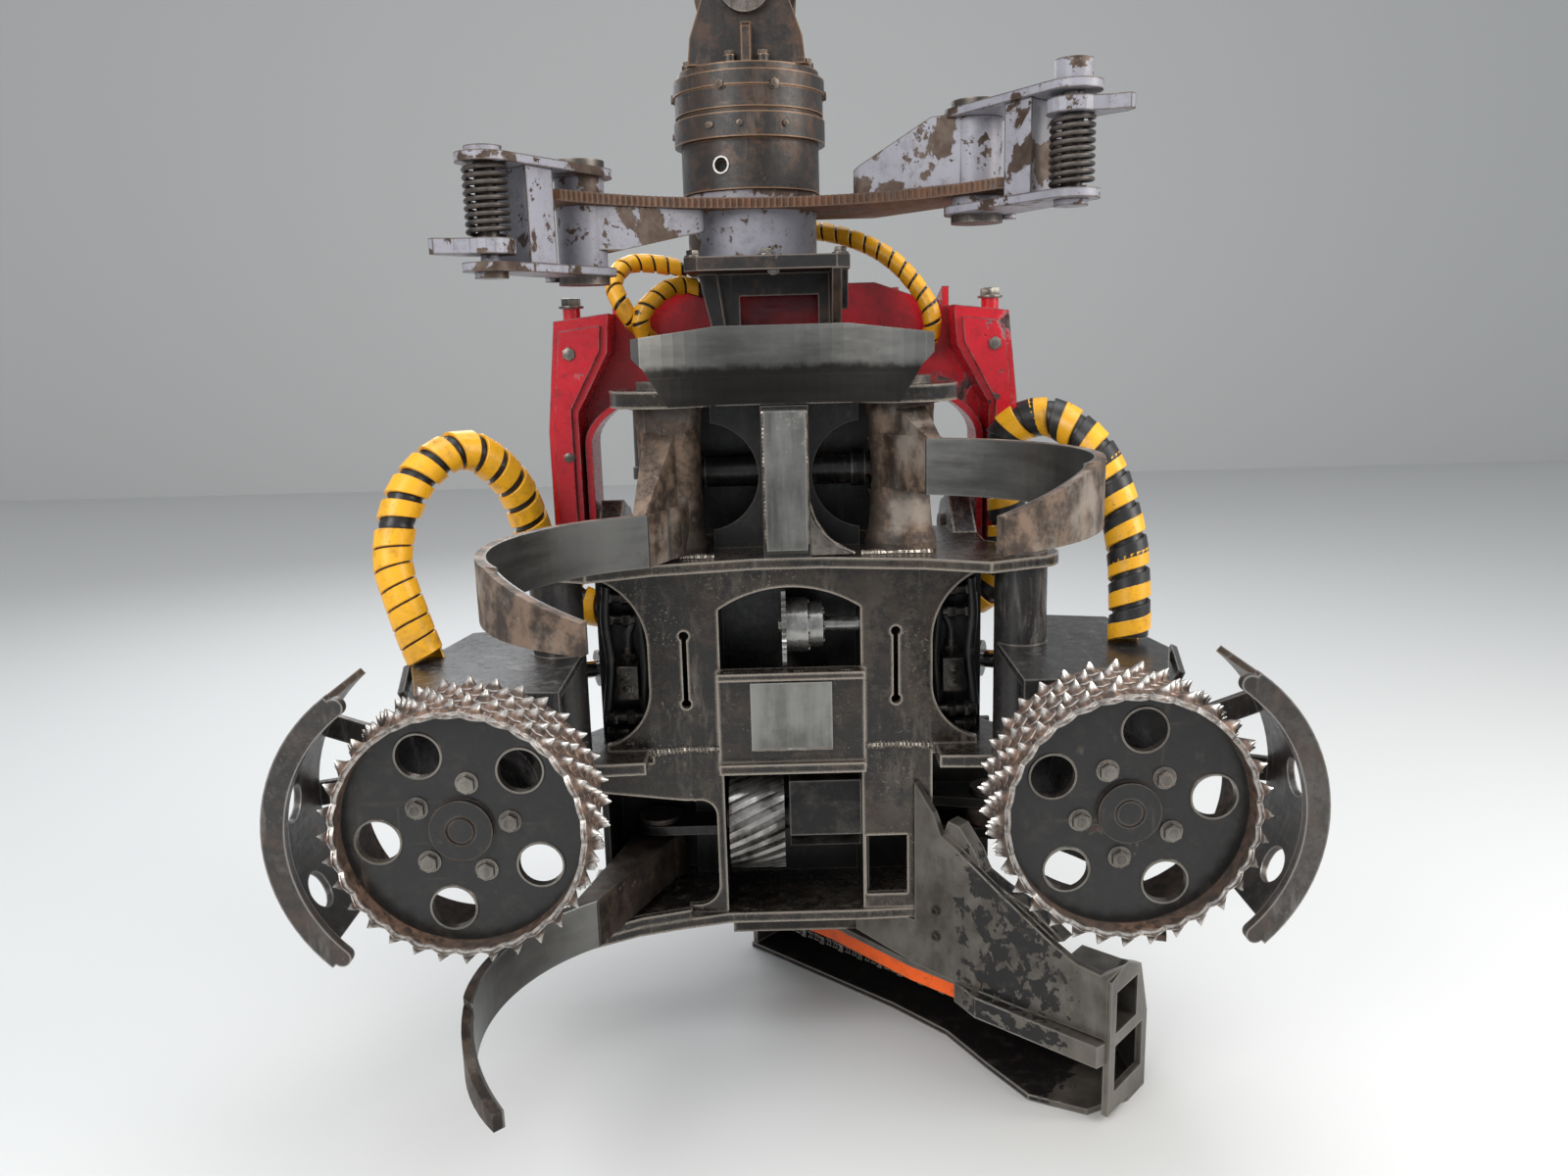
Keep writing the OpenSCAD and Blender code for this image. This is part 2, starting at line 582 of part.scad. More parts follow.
module shelf_plate() color("#262220") stand() slab(shelf_z[0], shelf_z[1]) difference() {
  polygon([[-frame_x - 6, -302], [-frame_x - 6, front_y + wall_t], [frame_x + 6, front_y + wall_t],
    [frame_x + 6, -302],
    [arm_x - 40, arm_y - 60], [arm_x + 34, arm_y - 56], [arm_x + 60, arm_y - 10],
      [arm_x + 44, arm_y + 46], [300, 0],
    [-300, 0], [-arm_x - 44, arm_y + 46], [-arm_x - 60, arm_y - 10], [-arm_x - 34, arm_y - 56],
      [-arm_x + 40, arm_y - 60]]);
  for (s = [-1, 1]) side(s) translate([arm_x, arm_y]) circle(r=arm_pin_r + run);
}

lip_path = [[-pocket_x - 47, -352], [-300, -292], [-213, -266], [-cavity_x - 30, front_y - 14],
  [-cavity_x, front_y - 6]];
module bottom_plate() color("#262220") stand() {
  slab(bottom_z[0], bottom_z[1]) difference() {
    union() {
      polygon(concat(lip_path, [[cavity_x, front_y - 6], [frame_x, front_y], [frame_x, 0],
        [-frame_x, 0], [-pocket_x - 44, -40]]));
      translate([-low_x[0], low_y]) circle(r=64);
    }
    translate([-low_x[0], low_y]) circle(r=low_pin_r + run);
  }
  // Raised lip round the pocket's floor
  slab(bottom_z[1] - 1, bottom_z[1] + 18) for (i = [0, 1])
    strap2d(lip_path[i] + [8, 8], lip_path[i + 1] + [8, 8], 7, 7);
  // Pedestal down to the saw box
  slab(saw_top, bottom_z[0]) difference() {
    translate([-130, -95]) square([360, 125]);
    translate([0, saw_y]) circle(r=78);
  }
}

// Fixed knife on top: a bowed blade round the trunk, over a dark lip that is narrower below
module top_knife() color("#6f6a64") stand() difference() {
  union() {
    slab(upper_z[1] + 22, upper_z[1] + 108) arc2d([0, -640], 402, 26, 52, 128);
    slab(upper_z[0] + 4, upper_z[1] + 23) arc2d([0, -640], 394, 18, 54, 126);
    for (s = [-1, 1]) side(s) slab(upper_z[1], upper_z[1] + 75) polygon([[90, -246], [110, -246],
      [110, -180], [90, -130]]);
  }
  for (s = [-1, 1]) side(s) wall_y(-500, -150) {
    polygon([[262, upper_z[0]], [262, upper_z[1] + 62], [236, upper_z[1] + 40], [196, upper_z[0]]]);
    polygon([[262, upper_z[1] + 115], [262, upper_z[1] + 88], [120, upper_z[1] + 107],
      [60, upper_z[1] + 115]]);
  }
}

module wear_plates() color("#8b8781") stand() {
  wall_x(-36, 36) polygon([[-262 - slip, 970], [-262 - slip, 1228], [-300, 1228], [-300, 985]]);
  wall_y(front_y - 22, front_y - 12 - slip) translate([-75, 606]) square([150, 127]);
}

module knife_pins() color("#5a534d") stand() {
  for (s = [-1, 1]) side(s) {
    bar_z(knife_x, knife_y, middle_z[0] - 12, upper_z[1] + 14, knife_pin_r);
    bar_z(knife_x, knife_y, upper_z[1] + slip, upper_z[1] + 14, 56);
    bar_z(knife_x, knife_y, middle_z[0] - 12, middle_z[0] - slip, 39);
  }
  bar_z(-low_x[0], low_y, bottom_z[0] - 12, low_z[0][1] + 34, low_pin_r);
  bar_z(-low_x[0], low_y, bottom_z[0] - 12, bottom_z[0] - slip, 44);
  bar_z(-low_x[0], low_y, low_z[0][1] + 24 + slip, low_z[0][1] + 34, 42);
  bar_z(low_x[1], low_y, low_z[1][0] - 34, low_z[1][1] + 34, low_pin_r);
  bar_z(low_x[1], low_y, low_z[1][1] + 24 + slip, low_z[1][1] + 34, 42);
}

module arm_pins() color("#5a534d") stand() for (s = [-1, 1]) side(s) {
  bar_z(arm_x, arm_y, shelf_z[0] - 12, middle_z[1] + 12, arm_pin_r);
  bar_z(arm_x, arm_y, middle_z[1] + slip, middle_z[1] + 12, 46);
  bar_z(arm_x, arm_y, shelf_z[0] - 12, shelf_z[0] - slip, 44);
  bar_z(feed_anchor[0], feed_anchor[1], feed_cyl_z - 62, feed_cyl_z + 62, cyl_pin_r);
}

// Saw box, drawn along the stowed bar from the saw's pivot
saw_top = 150;
bar_z0 = 86;
bar_t = 8;
module along_saw() translate([0, saw_y, 0]) rotate(-saw_angle) children();

module saw_box() color("#3a3532") stand() along_saw() {
  slab(0, 12) polygon([[-95, -46], [300, -46], [440, -58], [560, -100], [665, -132], [765, -102],
    [802, -20], [802, 45], [700, 135],
    [-95, 135]]);
  slab(saw_top - 12, saw_top) difference() {
    polygon([[-95, -60], [150, -60], [370, -86], [790, -86], [790, 45], [700, 135], [-95, 135]]);
    circle(r=30);
  }
  slab(11, saw_top - 11) polygon([[-95, 121], [-95, 134], [699, 134], [792, 50], [792, 34], [699, 118]]);
  // Hollow block behind the front plate's tip, open at its end
  difference() {
    slab(saw_top - 1, 254) translate([690, -87]) square([105, 96]);
    translate([750, -78, saw_top + 12]) cube([60, 78, 78]);
  }
  slab(11, saw_top - 11) polygon([[-95, -40], [-83, -40], [-83, 134], [-95, 134]]);
  // Front plate, its sloping edge, the rib behind that edge and the folded lip below
  wall_y(-100, -86) polygon([[395, 158], [485, 152], [796, 156], [796, 268], [824, 308],
    [781, 275], [735, 280], [687, 302], [588, 359],
    [483, 424], [455, 438], [436, 480], [395, 530]]);
  wall_y(-100, -86) polygon([[251, 183], [396, 158], [396, bottom_z[0] - slip], [251, bottom_z[0] - slip]]);
  wall_y(-87, -56) polygon([[452, 441], [462, 466], [486, 462], [520, 420], [532, 394], [538, 384],
    [564, 372], [588, 362], [640, 346], [704, 306], [687, 298], [588, 346], [483, 411]]);
  slab(112, 153) polygon([[485, -100], [545, -122], [790, -122], [796, -99], [796, -90], [485, -90]]);
  // End plate, open below
  wall_x(790, 802) difference() {
    polygon([[-99, 11], [45, 11], [45, 150], [14, 256], [-40, 284], [-99, 268]]);
    polygon([[-78, 50], [26, 50], [26, 138], [-78, 138]]);
    translate([-78, saw_top + 12]) square([78, 78]);
  }
}

module saw_lining() color("#f05a12") stand() along_saw() slab(bar_z0 + bar_t + 14, saw_top - 12 - slip)
  polygon([[84, -58], [150, -58], [372, -84], [700, -84], [700, -40], [84, -20]]);

module saw_motor() color("#1c1a19") stand() {
  bar_z(0, saw_y, saw_top + slip, 268, 70);
  bar_z(0, saw_y, bar_z0 + bar_t + 6 + slip, saw_top + 1, 26);
  bar_z(0, saw_y, bar_z0 - 3, bar_z0 + bar_t + 7, 16);
  translate([-45, saw_y - 30, 180]) cube([90, 130, 60]);
}

// Outline of the bar, grown by g: round at both ends, as one polygon
module bar2d(g) polygon(concat(
  [for (a = [90:7.5:270]) (bar_w / 2 + g) * [cos(a), sin(a)]],
  [for (a = [-90:7.5:90]) [bar_l - bar_w / 2, 0] + (bar_w / 2 + g) * [cos(a), sin(a)]]));

module saw_bar() color("#5c5751") stand() along_saw() slab(bar_z0, bar_z0 + bar_t) difference() {
  bar2d(0);
  circle(r=16 + run);
}

module saw_chain() color("#3b3733") stand() along_saw() slab(bar_z0 - 4, bar_z0 + bar_t + 4) difference() {
  bar2d(12);
  bar2d(run);
}

// Hoods over the valve block and the lower hoses on the head's back
module valve_cover() color("#1f1c1b") stand() {
  wall_x(-135, 135) polygon([[back_y + 12 + slip, 620], [back_y + 12 + slip, 930], [40, 930],
    [95, 860], [95, 660], [50, 620]]);
  wall_x(-120, 120) polygon([[low_back_y + 12 + slip, 290], [low_back_y + 12 + slip, 560],
    [20, 560], [60, 500], [60, 330], [20, 290]]);
}

// Feed arm as on the right: pivot tube, box plates, slanted outer plate and the roller's mounting plate
arm_low = feed_h - 20;
arm_top = feed_h + 162;
arm_plate_y = -505;
module feed_arm(s) color("#2a2725") stand() side(s) difference() {
  union() {
    bar_z(arm_x, arm_y, shelf_z[1] + slip, middle_z[0] - slip, 47);
    for (z = [[arm_low, arm_low + 14], [arm_top - 14, arm_top]]) slab(z[0], z[1])
      polygon([[arm_x - 44, arm_y + 20], [arm_x - 44, arm_plate_y], [610, arm_plate_y],
        [668, -330], [620, -90],
        [500, -60], [arm_x + 30, -200]]);
    wall_y(arm_plate_y, arm_plate_y + 16) {
      translate([arm_x - 44, arm_low]) square([234, arm_top - arm_low]);
      translate([feed_x, feed_h]) circle(r=120);
      polygon([[600, arm_low], [600, arm_top], [640, arm_top - 40], [700, 690], [700, 660],
        [640, arm_low]]);
    }
    slab(arm_low + 13, arm_top - 13) strap2d([520, -100], [600, -380], 12, 12);
    // Outer plate, leaning out at its foot, with a lightening hole
    translate([640, arm_plate_y + 34, arm_top - 8]) rotate([0, 24, -14]) translate([-6, 0, -170])
      difference() {
      cube([12, 170, 176]);
      translate([-1, 55, 60]) cube([14, 60, 60]);
      for (y = [55, 115]) translate([-1, y, 90]) rotate([0, 90, 0]) cylinder(r=30, h=14);
    }
    for (z = [-56, 42]) slab(feed_cyl_z + z, feed_cyl_z + z + 14) strap2d([arm_x, arm_y],
      lever_pin, 46, 30);
  }
  bar_z(arm_x, arm_y, shelf_z[0], middle_z[1], arm_pin_r + run);
}

module feed_motor(s) color("#211e1d") stand() side(s) {
  bar_y(feed_x, arm_plate_y - 130, arm_plate_y - slip, feed_h, 84);
  bar_y(feed_x, feed_front_y + disc_in + 12 + slip, arm_plate_y - 129, feed_h, 42);
  bar_y(feed_x, arm_plate_y + 16 + slip, arm_plate_y + 110, feed_h + 62, 58);
}

// Curved guard outside the feed roller: a flat hooked plate in front, and the band that carries it
guard_r = 264;
guard_w = 36;
guard_y = -690;
guard_c = [feed_x + 13, feed_h - 9];
module guard(s) color("#4a433d") stand() side(s) {
  wall_y(guard_y, guard_y + 16) difference() {
    union() {
      arc2d(guard_c, guard_r, guard_w, -46, 54, 24);
      for (a = [-46, 54]) translate(guard_c + (guard_r - 4) * [cos(a), sin(a)]) circle(r=guard_w / 2 - 4);
    }
    translate(guard_c) circle(r=guard_r - guard_w / 2);
  }
  difference() {
    wall_y(guard_y + 15, arm_plate_y + 16) arc2d(guard_c, guard_r + 12, 12, -42, 50, 22);
    for (a = [-26, 6, 36]) translate([guard_c[0], guard_y + 96, guard_c[1]]) rotate([0, -a, 0])
      translate([guard_r, 0, 0]) rotate([0, 90, 0]) cylinder(r=30, h=40);
  }
  for (a = [26, 0]) wall_y(arm_plate_y + 16, arm_plate_y + 28)
    strap2d([588, feed_h + (a == 0 ? 20 : 50)], guard_c + (guard_r + 12) * [cos(a), sin(a)], 20, 20);
}

// Feed rollers: spiked drum and the recessed disc on the motor's shaft
disc_in = 34;
rim_t = 8;
spike_rows = 5;
spikes = 34;
// The two rollers stopped at different turns
function disc_turn(s) = s < 0 ? 8 : 63;

module spike_ring(k) rotate(k % 2 * 180 / spikes) intersection() {
  linear_extrude(30, center=true) polygon([for (i = [0:2 * spikes - 1])
    let (r = drum_r - 3 + (i % 2) * (spike_h + 3), a = 180 * i / spikes)
    [r * cos(a), r * sin(a)]]);
  rotate_extrude() polygon([[drum_r - 6, -15], [drum_r - 2, -15], [drum_r + spike_h, -1],
    [drum_r + spike_h, 1], [drum_r - 2, 15], [drum_r - 6, 15]]);
}

module in_roller(s) stand() side(s) translate([feed_x, feed_front_y, feed_h]) rotate([-90, 0, 0])
  children();

module spiked_drum(s) color("#6b5a4c") in_roller(s) {
  difference() {
    cylinder(r=drum_r, h=feed_w, $fn=96);
    translate([0, 0, -1]) cylinder(r=drum_r - rim_t, h=feed_w + 2, $fn=96);
  }
  for (k = [0:spike_rows - 1]) translate([0, 0, feed_w * (k + 0.5) / spike_rows]) spike_ring(k);
}

module roller_disc(s) color("#1b1918") in_roller(s) {
  difference() {
    translate([0, 0, disc_in]) cylinder(r=drum_r - rim_t, h=12, $fn=96);
    for (k = [0:4]) rotate(k * 72 + disc_turn(s)) translate([130, 0, disc_in - 1]) cylinder(r=35, h=14);
  }
  difference() {
    translate([0, 0, disc_in - 10]) cylinder(r=48, h=11);
    translate([0, 0, disc_in - 11]) cylinder(r=23, h=4);
  }
  translate([0, 0, disc_in - 10]) cylinder(r=19, h=9);
  for (k = [0:4]) rotate(k * 72 + disc_turn(s) + 36) translate([74, 0, disc_in - 11])
    cylinder(r=13, h=12, $fn=6);
}

// Feed arm cylinders
lever_pin = [450, -100];
feed_anchor = [185, 10];
feed_cyl_z = 717;
feed_cyl_r = 32;
feed_rod_r = 18;
feed_barrel_l = 215;
module feed_barrel(s) color("#26211f") stand() side(s) in_plan(feed_cyl_z, feed_anchor, lever_pin)
  barrel(feed_barrel_l, feed_cyl_r, feed_rod_r, 76, 29);
module feed_rod(s) color("#b9b6b0") stand() side(s) in_plan(feed_cyl_z, feed_anchor, lever_pin)
  rod(70, norm(lever_pin - feed_anchor), feed_rod_r, 72, 27);

// Upper knives: bottom and top of the left and of the right blade
knife_z = [[972, 1062], [1085, 1180]];
knife_centre = [130, -640];
knife_root = [251, -355];
knife_cyl_z = 1100;
knife_lever = [190, -30];

// Pivot boss of a knife between two heights: flared at both ends, on the right with a narrow waist
module knife_boss(s, z0, z1) rotate_extrude() polygon([[0, z0], [66, z0], [66, z0 + 16], [58, z0 + 46],
  [s < 0 ? 56 : 51, (z0 + z1) / 2], [58, z1 - 46], [62, z1 - 14], [62, z1], [0, z1]]);

// Wedge that thins a blade towards its tip: from height z at the tip up to top over a length, to be cut away
module tip_wedge(centre, r, a, l, z, top) translate([centre[0], centre[1], 0]) rotate(a)
  wall_x(r - 60, r + 60) polygon([[-60, z - 20], [0, z], [l, top], [l, top + 20], [-60, top + 20]]);

function web_h(s) = s < 0 ? 128 : 46;

module upper_knife(s) color("#57514b") stand() side(s) {
  z = knife_z[s < 0 ? 0 : 1];
  difference() {
    union() {
      translate([knife_x, knife_y, 0]) knife_boss(s, middle_z[1] + slip, upper_z[0] - slip);
      slab(z[0], z[1]) difference() {
        union() {
          strap2d([knife_x, knife_y], knife_root, 50, 14);
          arc2d(knife_centre, knife_r, blade_t, 67, -66, 32);
        }
        translate(knife_centre) circle(r=knife_r - blade_t / 2);
      }
      // Web that sweeps from the boss down onto the blade
      intersection() {
        slab(z[1] - 1, upper_z[0] - 1) difference() {
          strap2d([knife_x, knife_y], knife_root, 34, 10);
          translate(knife_centre) circle(r=knife_r - blade_t / 2);
        }
        wall_x(0, 400) polygon(concat([[knife_y, z[1] - 1], [knife_y, z[1] + web_h(s)]],
          [for (a = [0:10:90]) [knife_root[1] + 120 * (1 - sin(a)), z[1] + web_h(s)
            * (1 - sin(a))]], [[knife_root[1], z[1] - 1]]));
      }
      for (h = [knife_cyl_z - 56, knife_cyl_z + 42]) slab(h, h + 14) strap2d([knife_x, knife_y],
        knife_lever, 52, 30);
      if (s < 0) bar_z(knife_lever[0], knife_lever[1], knife_cyl_z - 62, knife_cyl_z + 62, cyl_pin_r);
    }
    bar_z(knife_x, knife_y, middle_z[1], upper_z[0], knife_pin_r + run);
    tip_wedge(knife_centre, knife_r, -66, 190, z[1] - 48, z[1]);
    mirror([0, 0, 1]) translate([0, 0, -2 * z[0]]) tip_wedge(knife_centre, knife_r, -66, 120,
      z[0] + 22, z[0]);
  }
}

// Cylinder that closes the upper knives
knife_barrel_l = 345;
module knife_barrel() color("#26211f") stand() in_plan(knife_cyl_z, [-knife_lever[0],
  knife_lever[1]], knife_lever)
  barrel(knife_barrel_l, 32, 19, 76, 29);
module knife_rod() color("#b9b6b0") stand() in_plan(knife_cyl_z, [-knife_lever[0], knife_lever[1]],
  knife_lever)
  rod(57, 2 * knife_lever[0], 19, 72, 27);

// Lower knives, left and right: pivot, height and arc
low_x = [270, 400];
low_y = -90;
low_z = [[292, 380], [386, 420]];
low_pin_r = 30;
low_centre = [[170, -672], [240, -490]];
low_r = [336, 360];
low_end = [-42, -18];
module lower_knife(s) color("#57514b") stand() side(s) {
  k = s < 0 ? 0 : 1;
  z = low_z[k];
  pivot = [low_x[k], low_y];
  r = low_r[k];
  a0 = [52, 62][k];
  root = low_centre[k] + r * [cos(a0), sin(a0)];
  difference() {
    union() {
      slab(z[0], z[1]) translate(pivot) circle(r=52);
      slab(z[0], z[1]) difference() {
        union() {
          strap2d(pivot, root, 44, 18);
          arc2d(low_centre[k], r, 18, a0, low_end[k], 24);
        }
        translate(low_centre[k]) circle(r=r - 9);
      }
    }
    bar_z(pivot[0], pivot[1], z[0] - 1, z[1] + 1, low_pin_r + run);
    tip_wedge(low_centre[k], r, low_end[k], 260, z[0] + 0.3 * (z[1] - z[0]), z[1]);
  }
}

// Measuring wheel, helical inner roller and what carries them
wheel_x = -10;
wheel_y = -180;
wheel_h = 822;
wheel_r = 78;
wheel_teeth = 38;
inner_h = 440;
inner_y = -168;
inner_r = 100;
module measuring_wheel() color("#77726c") stand() {
  wall_x(wheel_x - 4, wheel_x + 4) translate([wheel_y, wheel_h]) difference() {
    polygon([for (i = [0:2 * wheel_teeth - 1]) let (a = 180 * i / wheel_teeth,
      r = wheel_r - (i % 2) * 7) [r * cos(a), r * sin(a)]]);
    circle(r=14 + run);
  }
}

// Slanted ribs round the drum, cut off level with its ends
inner_ribs = 28;
module helical_roller() color("#7d7872") stand() difference() {
  intersection() {
    union() {
      bar_x(-122, -18, inner_y, inner_h, inner_r - 9);
      for (k = [0:inner_ribs - 1]) translate([-70, inner_y, inner_h]) rotate([k * 360 / inner_ribs, 0, 0])
        translate([0, 0, inner_r - 12]) rotate(25) translate([-65, -4.5, 0]) cube([130, 9, 14]);
    }
    bar_x(-122, -18, inner_y, inner_h, inner_r + 2);
  }
  bar_x(-123, -17, inner_y, inner_h, 30 + run);
}

module wheel_mounts() color("#8e8a84") stand() {
  bar_x(wheel_x - 10, cavity_x - slip, wheel_y, wheel_h, 14);
  bar_x(wheel_x + 4 + slip, 34, wheel_y, wheel_h, 52);
  bar_x(34 - 1, 62, wheel_y, wheel_h, 44);
  bar_x(-cavity_x + slip, cavity_x - slip, inner_y, inner_h, 30);
  // Bearing block of the inner roller
  wall_x(-8, cavity_x - slip) difference() {
    polygon([[low_back_y - slip, 372], [low_back_y - slip, 540], [-160, 540], [-206, 520],
      [-212, 480], [-212, 392], [-170, 372]]);
    translate([-228, 352]) circle(r=62);
  }
}

// Hoses: yellow wrapped loops and short leads, each along its route
function unit(v) = v / norm(v);
function path_dir(p, i) = unit(p[min(i + 1, len(p) - 1)] - p[max(i - 1, 0)]);
function spline(p, i, t) = let (a = p[max(i - 1, 0)], b = p[i], c = p[i + 1], d = p[min(i + 2, len(p) - 1)])
  0.5 * (2 * b + (c - a) * t + (2 * a - 5 * b + 4 * c - d) * t * t + (3 * b - a - 3 * c + d) * t * t * t);
function route(p, n) = concat([for (i = [0:len(p) - 2]) for (k = [0:n - 1]) spline(p, i, k / n)],
  [p[len(p) - 1]]);
// Side direction carried along the path without twist
function carry(p, i, side) = i == 0 ? side : let (d = path_dir(p, i), s = carry(p, i - 1, side))
  unit(s - (s * d) * d);
module tube(p, r, sides) {
  start = unit(cross(path_dir(p, 0), [0.3, 1, 0.2]));
  rings = [for (i = [0:len(p) - 1]) let (d = path_dir(p, i), u = carry(p, i, start), v = cross(d, u))
    for (k = [0:sides - 1]) p[i] + r * (cos(360 * k / sides) * u + sin(360 * k / sides) * v)];
  last = (len(p) - 1) * sides;
  polyhedron(points=rings, faces=concat(
    [[for (k = [0:sides - 1]) k]],
    [for (i = [0:len(p) - 2]) for (k = [0:sides - 1]) let (a = i * sides + k,
      b = i * sides + (k + 1) % sides)
      [a, a + sides, b + sides, b]],
    [[for (k = [sides - 1:-1:0]) last + k]]));
}

// Routes of the loops, from the feed arm over the top and down behind the frame's side
hose_r = 38;
hose_L = [[-655, -290, 812], [-680, -280, 885], [-705, -260, 990], [-670, -220, 1110],
  [-590, -165, 1165], [-520, -110, 1100],
  [-490, -70, 990], [-465, -45, 890], [-400, -45, 838], [-330, -56, 832], [-263, -56, 832]];
hose_R = [[607, -290, 812], [609, -280, 885], [604, -250, 1000], [566, -200, 1130],
  [490, -140, 1195], [418, -90, 1158],
  [425, -70, 1060], [430, -62, 960], [416, -55, 880], [370, -50, 838], [320, -56, 832], [262.9, -56, 832]];
module feed_hose(p) color("#e0a010") stand() tube(route(p, 3), hose_r, 10);

lead_r = 19;
lead_1 = [[-150, 66, 1444.8], [-196, 58, 1456.8], [-232, 38, 1442], [-270, 18, 1404], [-272, 34, 1368],
  [-260, 66, 1352], [-258, 109, 1350]];
lead_2 = [[-186, 120, 1486], [-240, 112, 1500], [-300, 84, 1500], [-326, 48, 1466],
  [-312, 26, 1426], [-296, 34, 1396], [-288, 64, 1382], [-286, 109, 1380]];
lead_3 = [[10, 133, 1556], [80, 132, 1558], [170, 106, 1530], [235, 84, 1486], [286, 64, 1420],
  [300, 56, 1372], [294, 70, 1338], [290, 104.9, 1326]];
module bracket_hoses() color("#e0a010") stand() {
  tube(route(lead_1, 3), lead_r, 8);
  tube(route(lead_2, 3), lead_r, 8);
  tube(route(lead_3, 4), lead_r, 8);
}

hanger_link();
rotator_housing();
swing_pin();
rotor_body();
collector_collar();
collector_plate();
mount_bracket();
tilt_yoke();
bracket_pins();
bracket_hoses();
tilt_barrel(-1);  // tilt_barrel_L
tilt_barrel(1);  // tilt_barrel_R
tilt_rod(-1);  // tilt_rod_L
tilt_rod(1);  // tilt_rod_R
upper_plate();
upper_walls();
middle_plate();
front_skin();
channel_walls();
shelf_plate();
bottom_plate();
top_knife();
wear_plates();
knife_pins();
arm_pins();
wheel_mounts();
saw_box();
saw_lining();
saw_motor();
valve_cover();
feed_arm(-1);  // feed_arm_L
feed_arm(1);  // feed_arm_R
feed_motor(-1);  // feed_motor_L
feed_motor(1);  // feed_motor_R
guard(-1);  // guard_L
guard(1);  // guard_R
spiked_drum(-1);  // spiked_drum_L
spiked_drum(1);  // spiked_drum_R
roller_disc(-1);  // roller_disc_L
roller_disc(1);  // roller_disc_R
feed_barrel(-1);  // feed_barrel_L
feed_barrel(1);  // feed_barrel_R
feed_rod(-1);  // feed_rod_L
feed_rod(1);  // feed_rod_R
upper_knife(-1);  // upper_knife_L
upper_knife(1);  // upper_knife_R
knife_barrel();
knife_rod();
lower_knife(-1);  // lower_knife_L
lower_knife(1);  // lower_knife_R
saw_bar();
saw_chain();
measuring_wheel();
helical_roller();
collector_arm(-1);  // collector_arm_L
collector_arm(1);  // collector_arm_R
collector_spring(-1);  // collector_spring_L
collector_spring(1);  // collector_spring_R
feed_hose(hose_L);  // feed_hose_L
feed_hose(hose_R);  // feed_hose_R
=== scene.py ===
import json
from bisect import bisect
from math import cos, pi, radians, sin

import bmesh
import bpy
from mathutils import Matrix, Vector


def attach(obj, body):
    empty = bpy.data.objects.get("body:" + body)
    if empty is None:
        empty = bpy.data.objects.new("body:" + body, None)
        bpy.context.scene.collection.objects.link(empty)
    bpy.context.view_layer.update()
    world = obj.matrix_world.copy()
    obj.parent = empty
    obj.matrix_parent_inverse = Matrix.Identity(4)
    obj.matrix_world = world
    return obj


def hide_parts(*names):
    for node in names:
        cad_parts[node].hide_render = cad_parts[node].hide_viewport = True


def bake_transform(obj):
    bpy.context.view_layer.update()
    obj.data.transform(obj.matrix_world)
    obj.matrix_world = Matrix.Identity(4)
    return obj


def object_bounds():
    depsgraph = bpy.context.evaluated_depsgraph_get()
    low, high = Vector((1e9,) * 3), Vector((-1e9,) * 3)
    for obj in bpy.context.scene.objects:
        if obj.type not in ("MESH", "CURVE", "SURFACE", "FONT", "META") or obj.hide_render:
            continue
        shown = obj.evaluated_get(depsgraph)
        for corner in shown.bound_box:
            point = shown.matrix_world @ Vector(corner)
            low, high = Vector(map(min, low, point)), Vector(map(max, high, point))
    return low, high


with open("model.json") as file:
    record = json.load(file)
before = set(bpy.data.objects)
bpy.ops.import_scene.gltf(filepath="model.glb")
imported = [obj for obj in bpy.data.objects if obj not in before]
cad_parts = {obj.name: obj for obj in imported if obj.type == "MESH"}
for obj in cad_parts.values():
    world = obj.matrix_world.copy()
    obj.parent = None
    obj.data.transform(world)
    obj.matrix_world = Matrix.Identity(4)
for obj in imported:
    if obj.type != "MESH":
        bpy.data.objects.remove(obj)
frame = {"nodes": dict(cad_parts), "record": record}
cad_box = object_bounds()
nodes = frame["nodes"]
scene = bpy.context.scene

# Places in millimetres, from the head's middle and over the underside of the saw box: the mount and the
# rotator's axis, the feed rollers, the measuring wheel, the claws' springs and the front skin
PIN_X, PIN_Z = -50, 2180
ROLLER_X, ROLLER_Y, ROLLER_Z = 503, -700, 638
WHEEL_Y, WHEEL_Z = -180, 822
SPRING_X, SPRING_Y = 451.3, -429.2
FRONT_Y = -241


def at(x, y, z):
    """A place given in those millimetres, in metres from the mount."""
    return Vector(((x - PIN_X) / 1000, y / 1000, (z - PIN_Z) / 1000))


def path(places, side=1):
    """Places of the right side, or mirrored to the left one."""
    return [at(side * x, y, z) for x, y, z in places]


def around(degrees, radius=1.0, height=0.0):
    """A place on a circle round +Z."""
    return Vector((radius * cos(radians(degrees)), radius * sin(radians(degrees)), height))


# Shader helpers
def add_node(tree, kind, inputs=None, **settings):
    """A node with its settings and its plain or linked inputs."""
    made = tree.nodes.new(kind)
    for key, value in settings.items():
        setattr(made, key, value)
    for key, value in (inputs or {}).items():
        plug(tree, value, made.inputs[key])
    return made


def plug(tree, value, socket):
    """Links a socket, or sets a plain value."""
    if isinstance(value, bpy.types.NodeSocket):
        tree.links.new(value, socket)
    elif isinstance(value, (tuple, list)) and socket.type == "RGBA" and len(value) == 3:
        socket.default_value = (*value, 1.0)
    else:
        socket.default_value = value


def maths(tree, operation, a, b=0.0, clamp=False):
    return add_node(tree, "ShaderNodeMath", {0: a, 1: b}, operation=operation, use_clamp=clamp).outputs[0]


def times(tree, a, b):
    return maths(tree, "MULTIPLY", a, b)


def plus(tree, a, b, clamp=False):
    return maths(tree, "ADD", a, b, clamp)


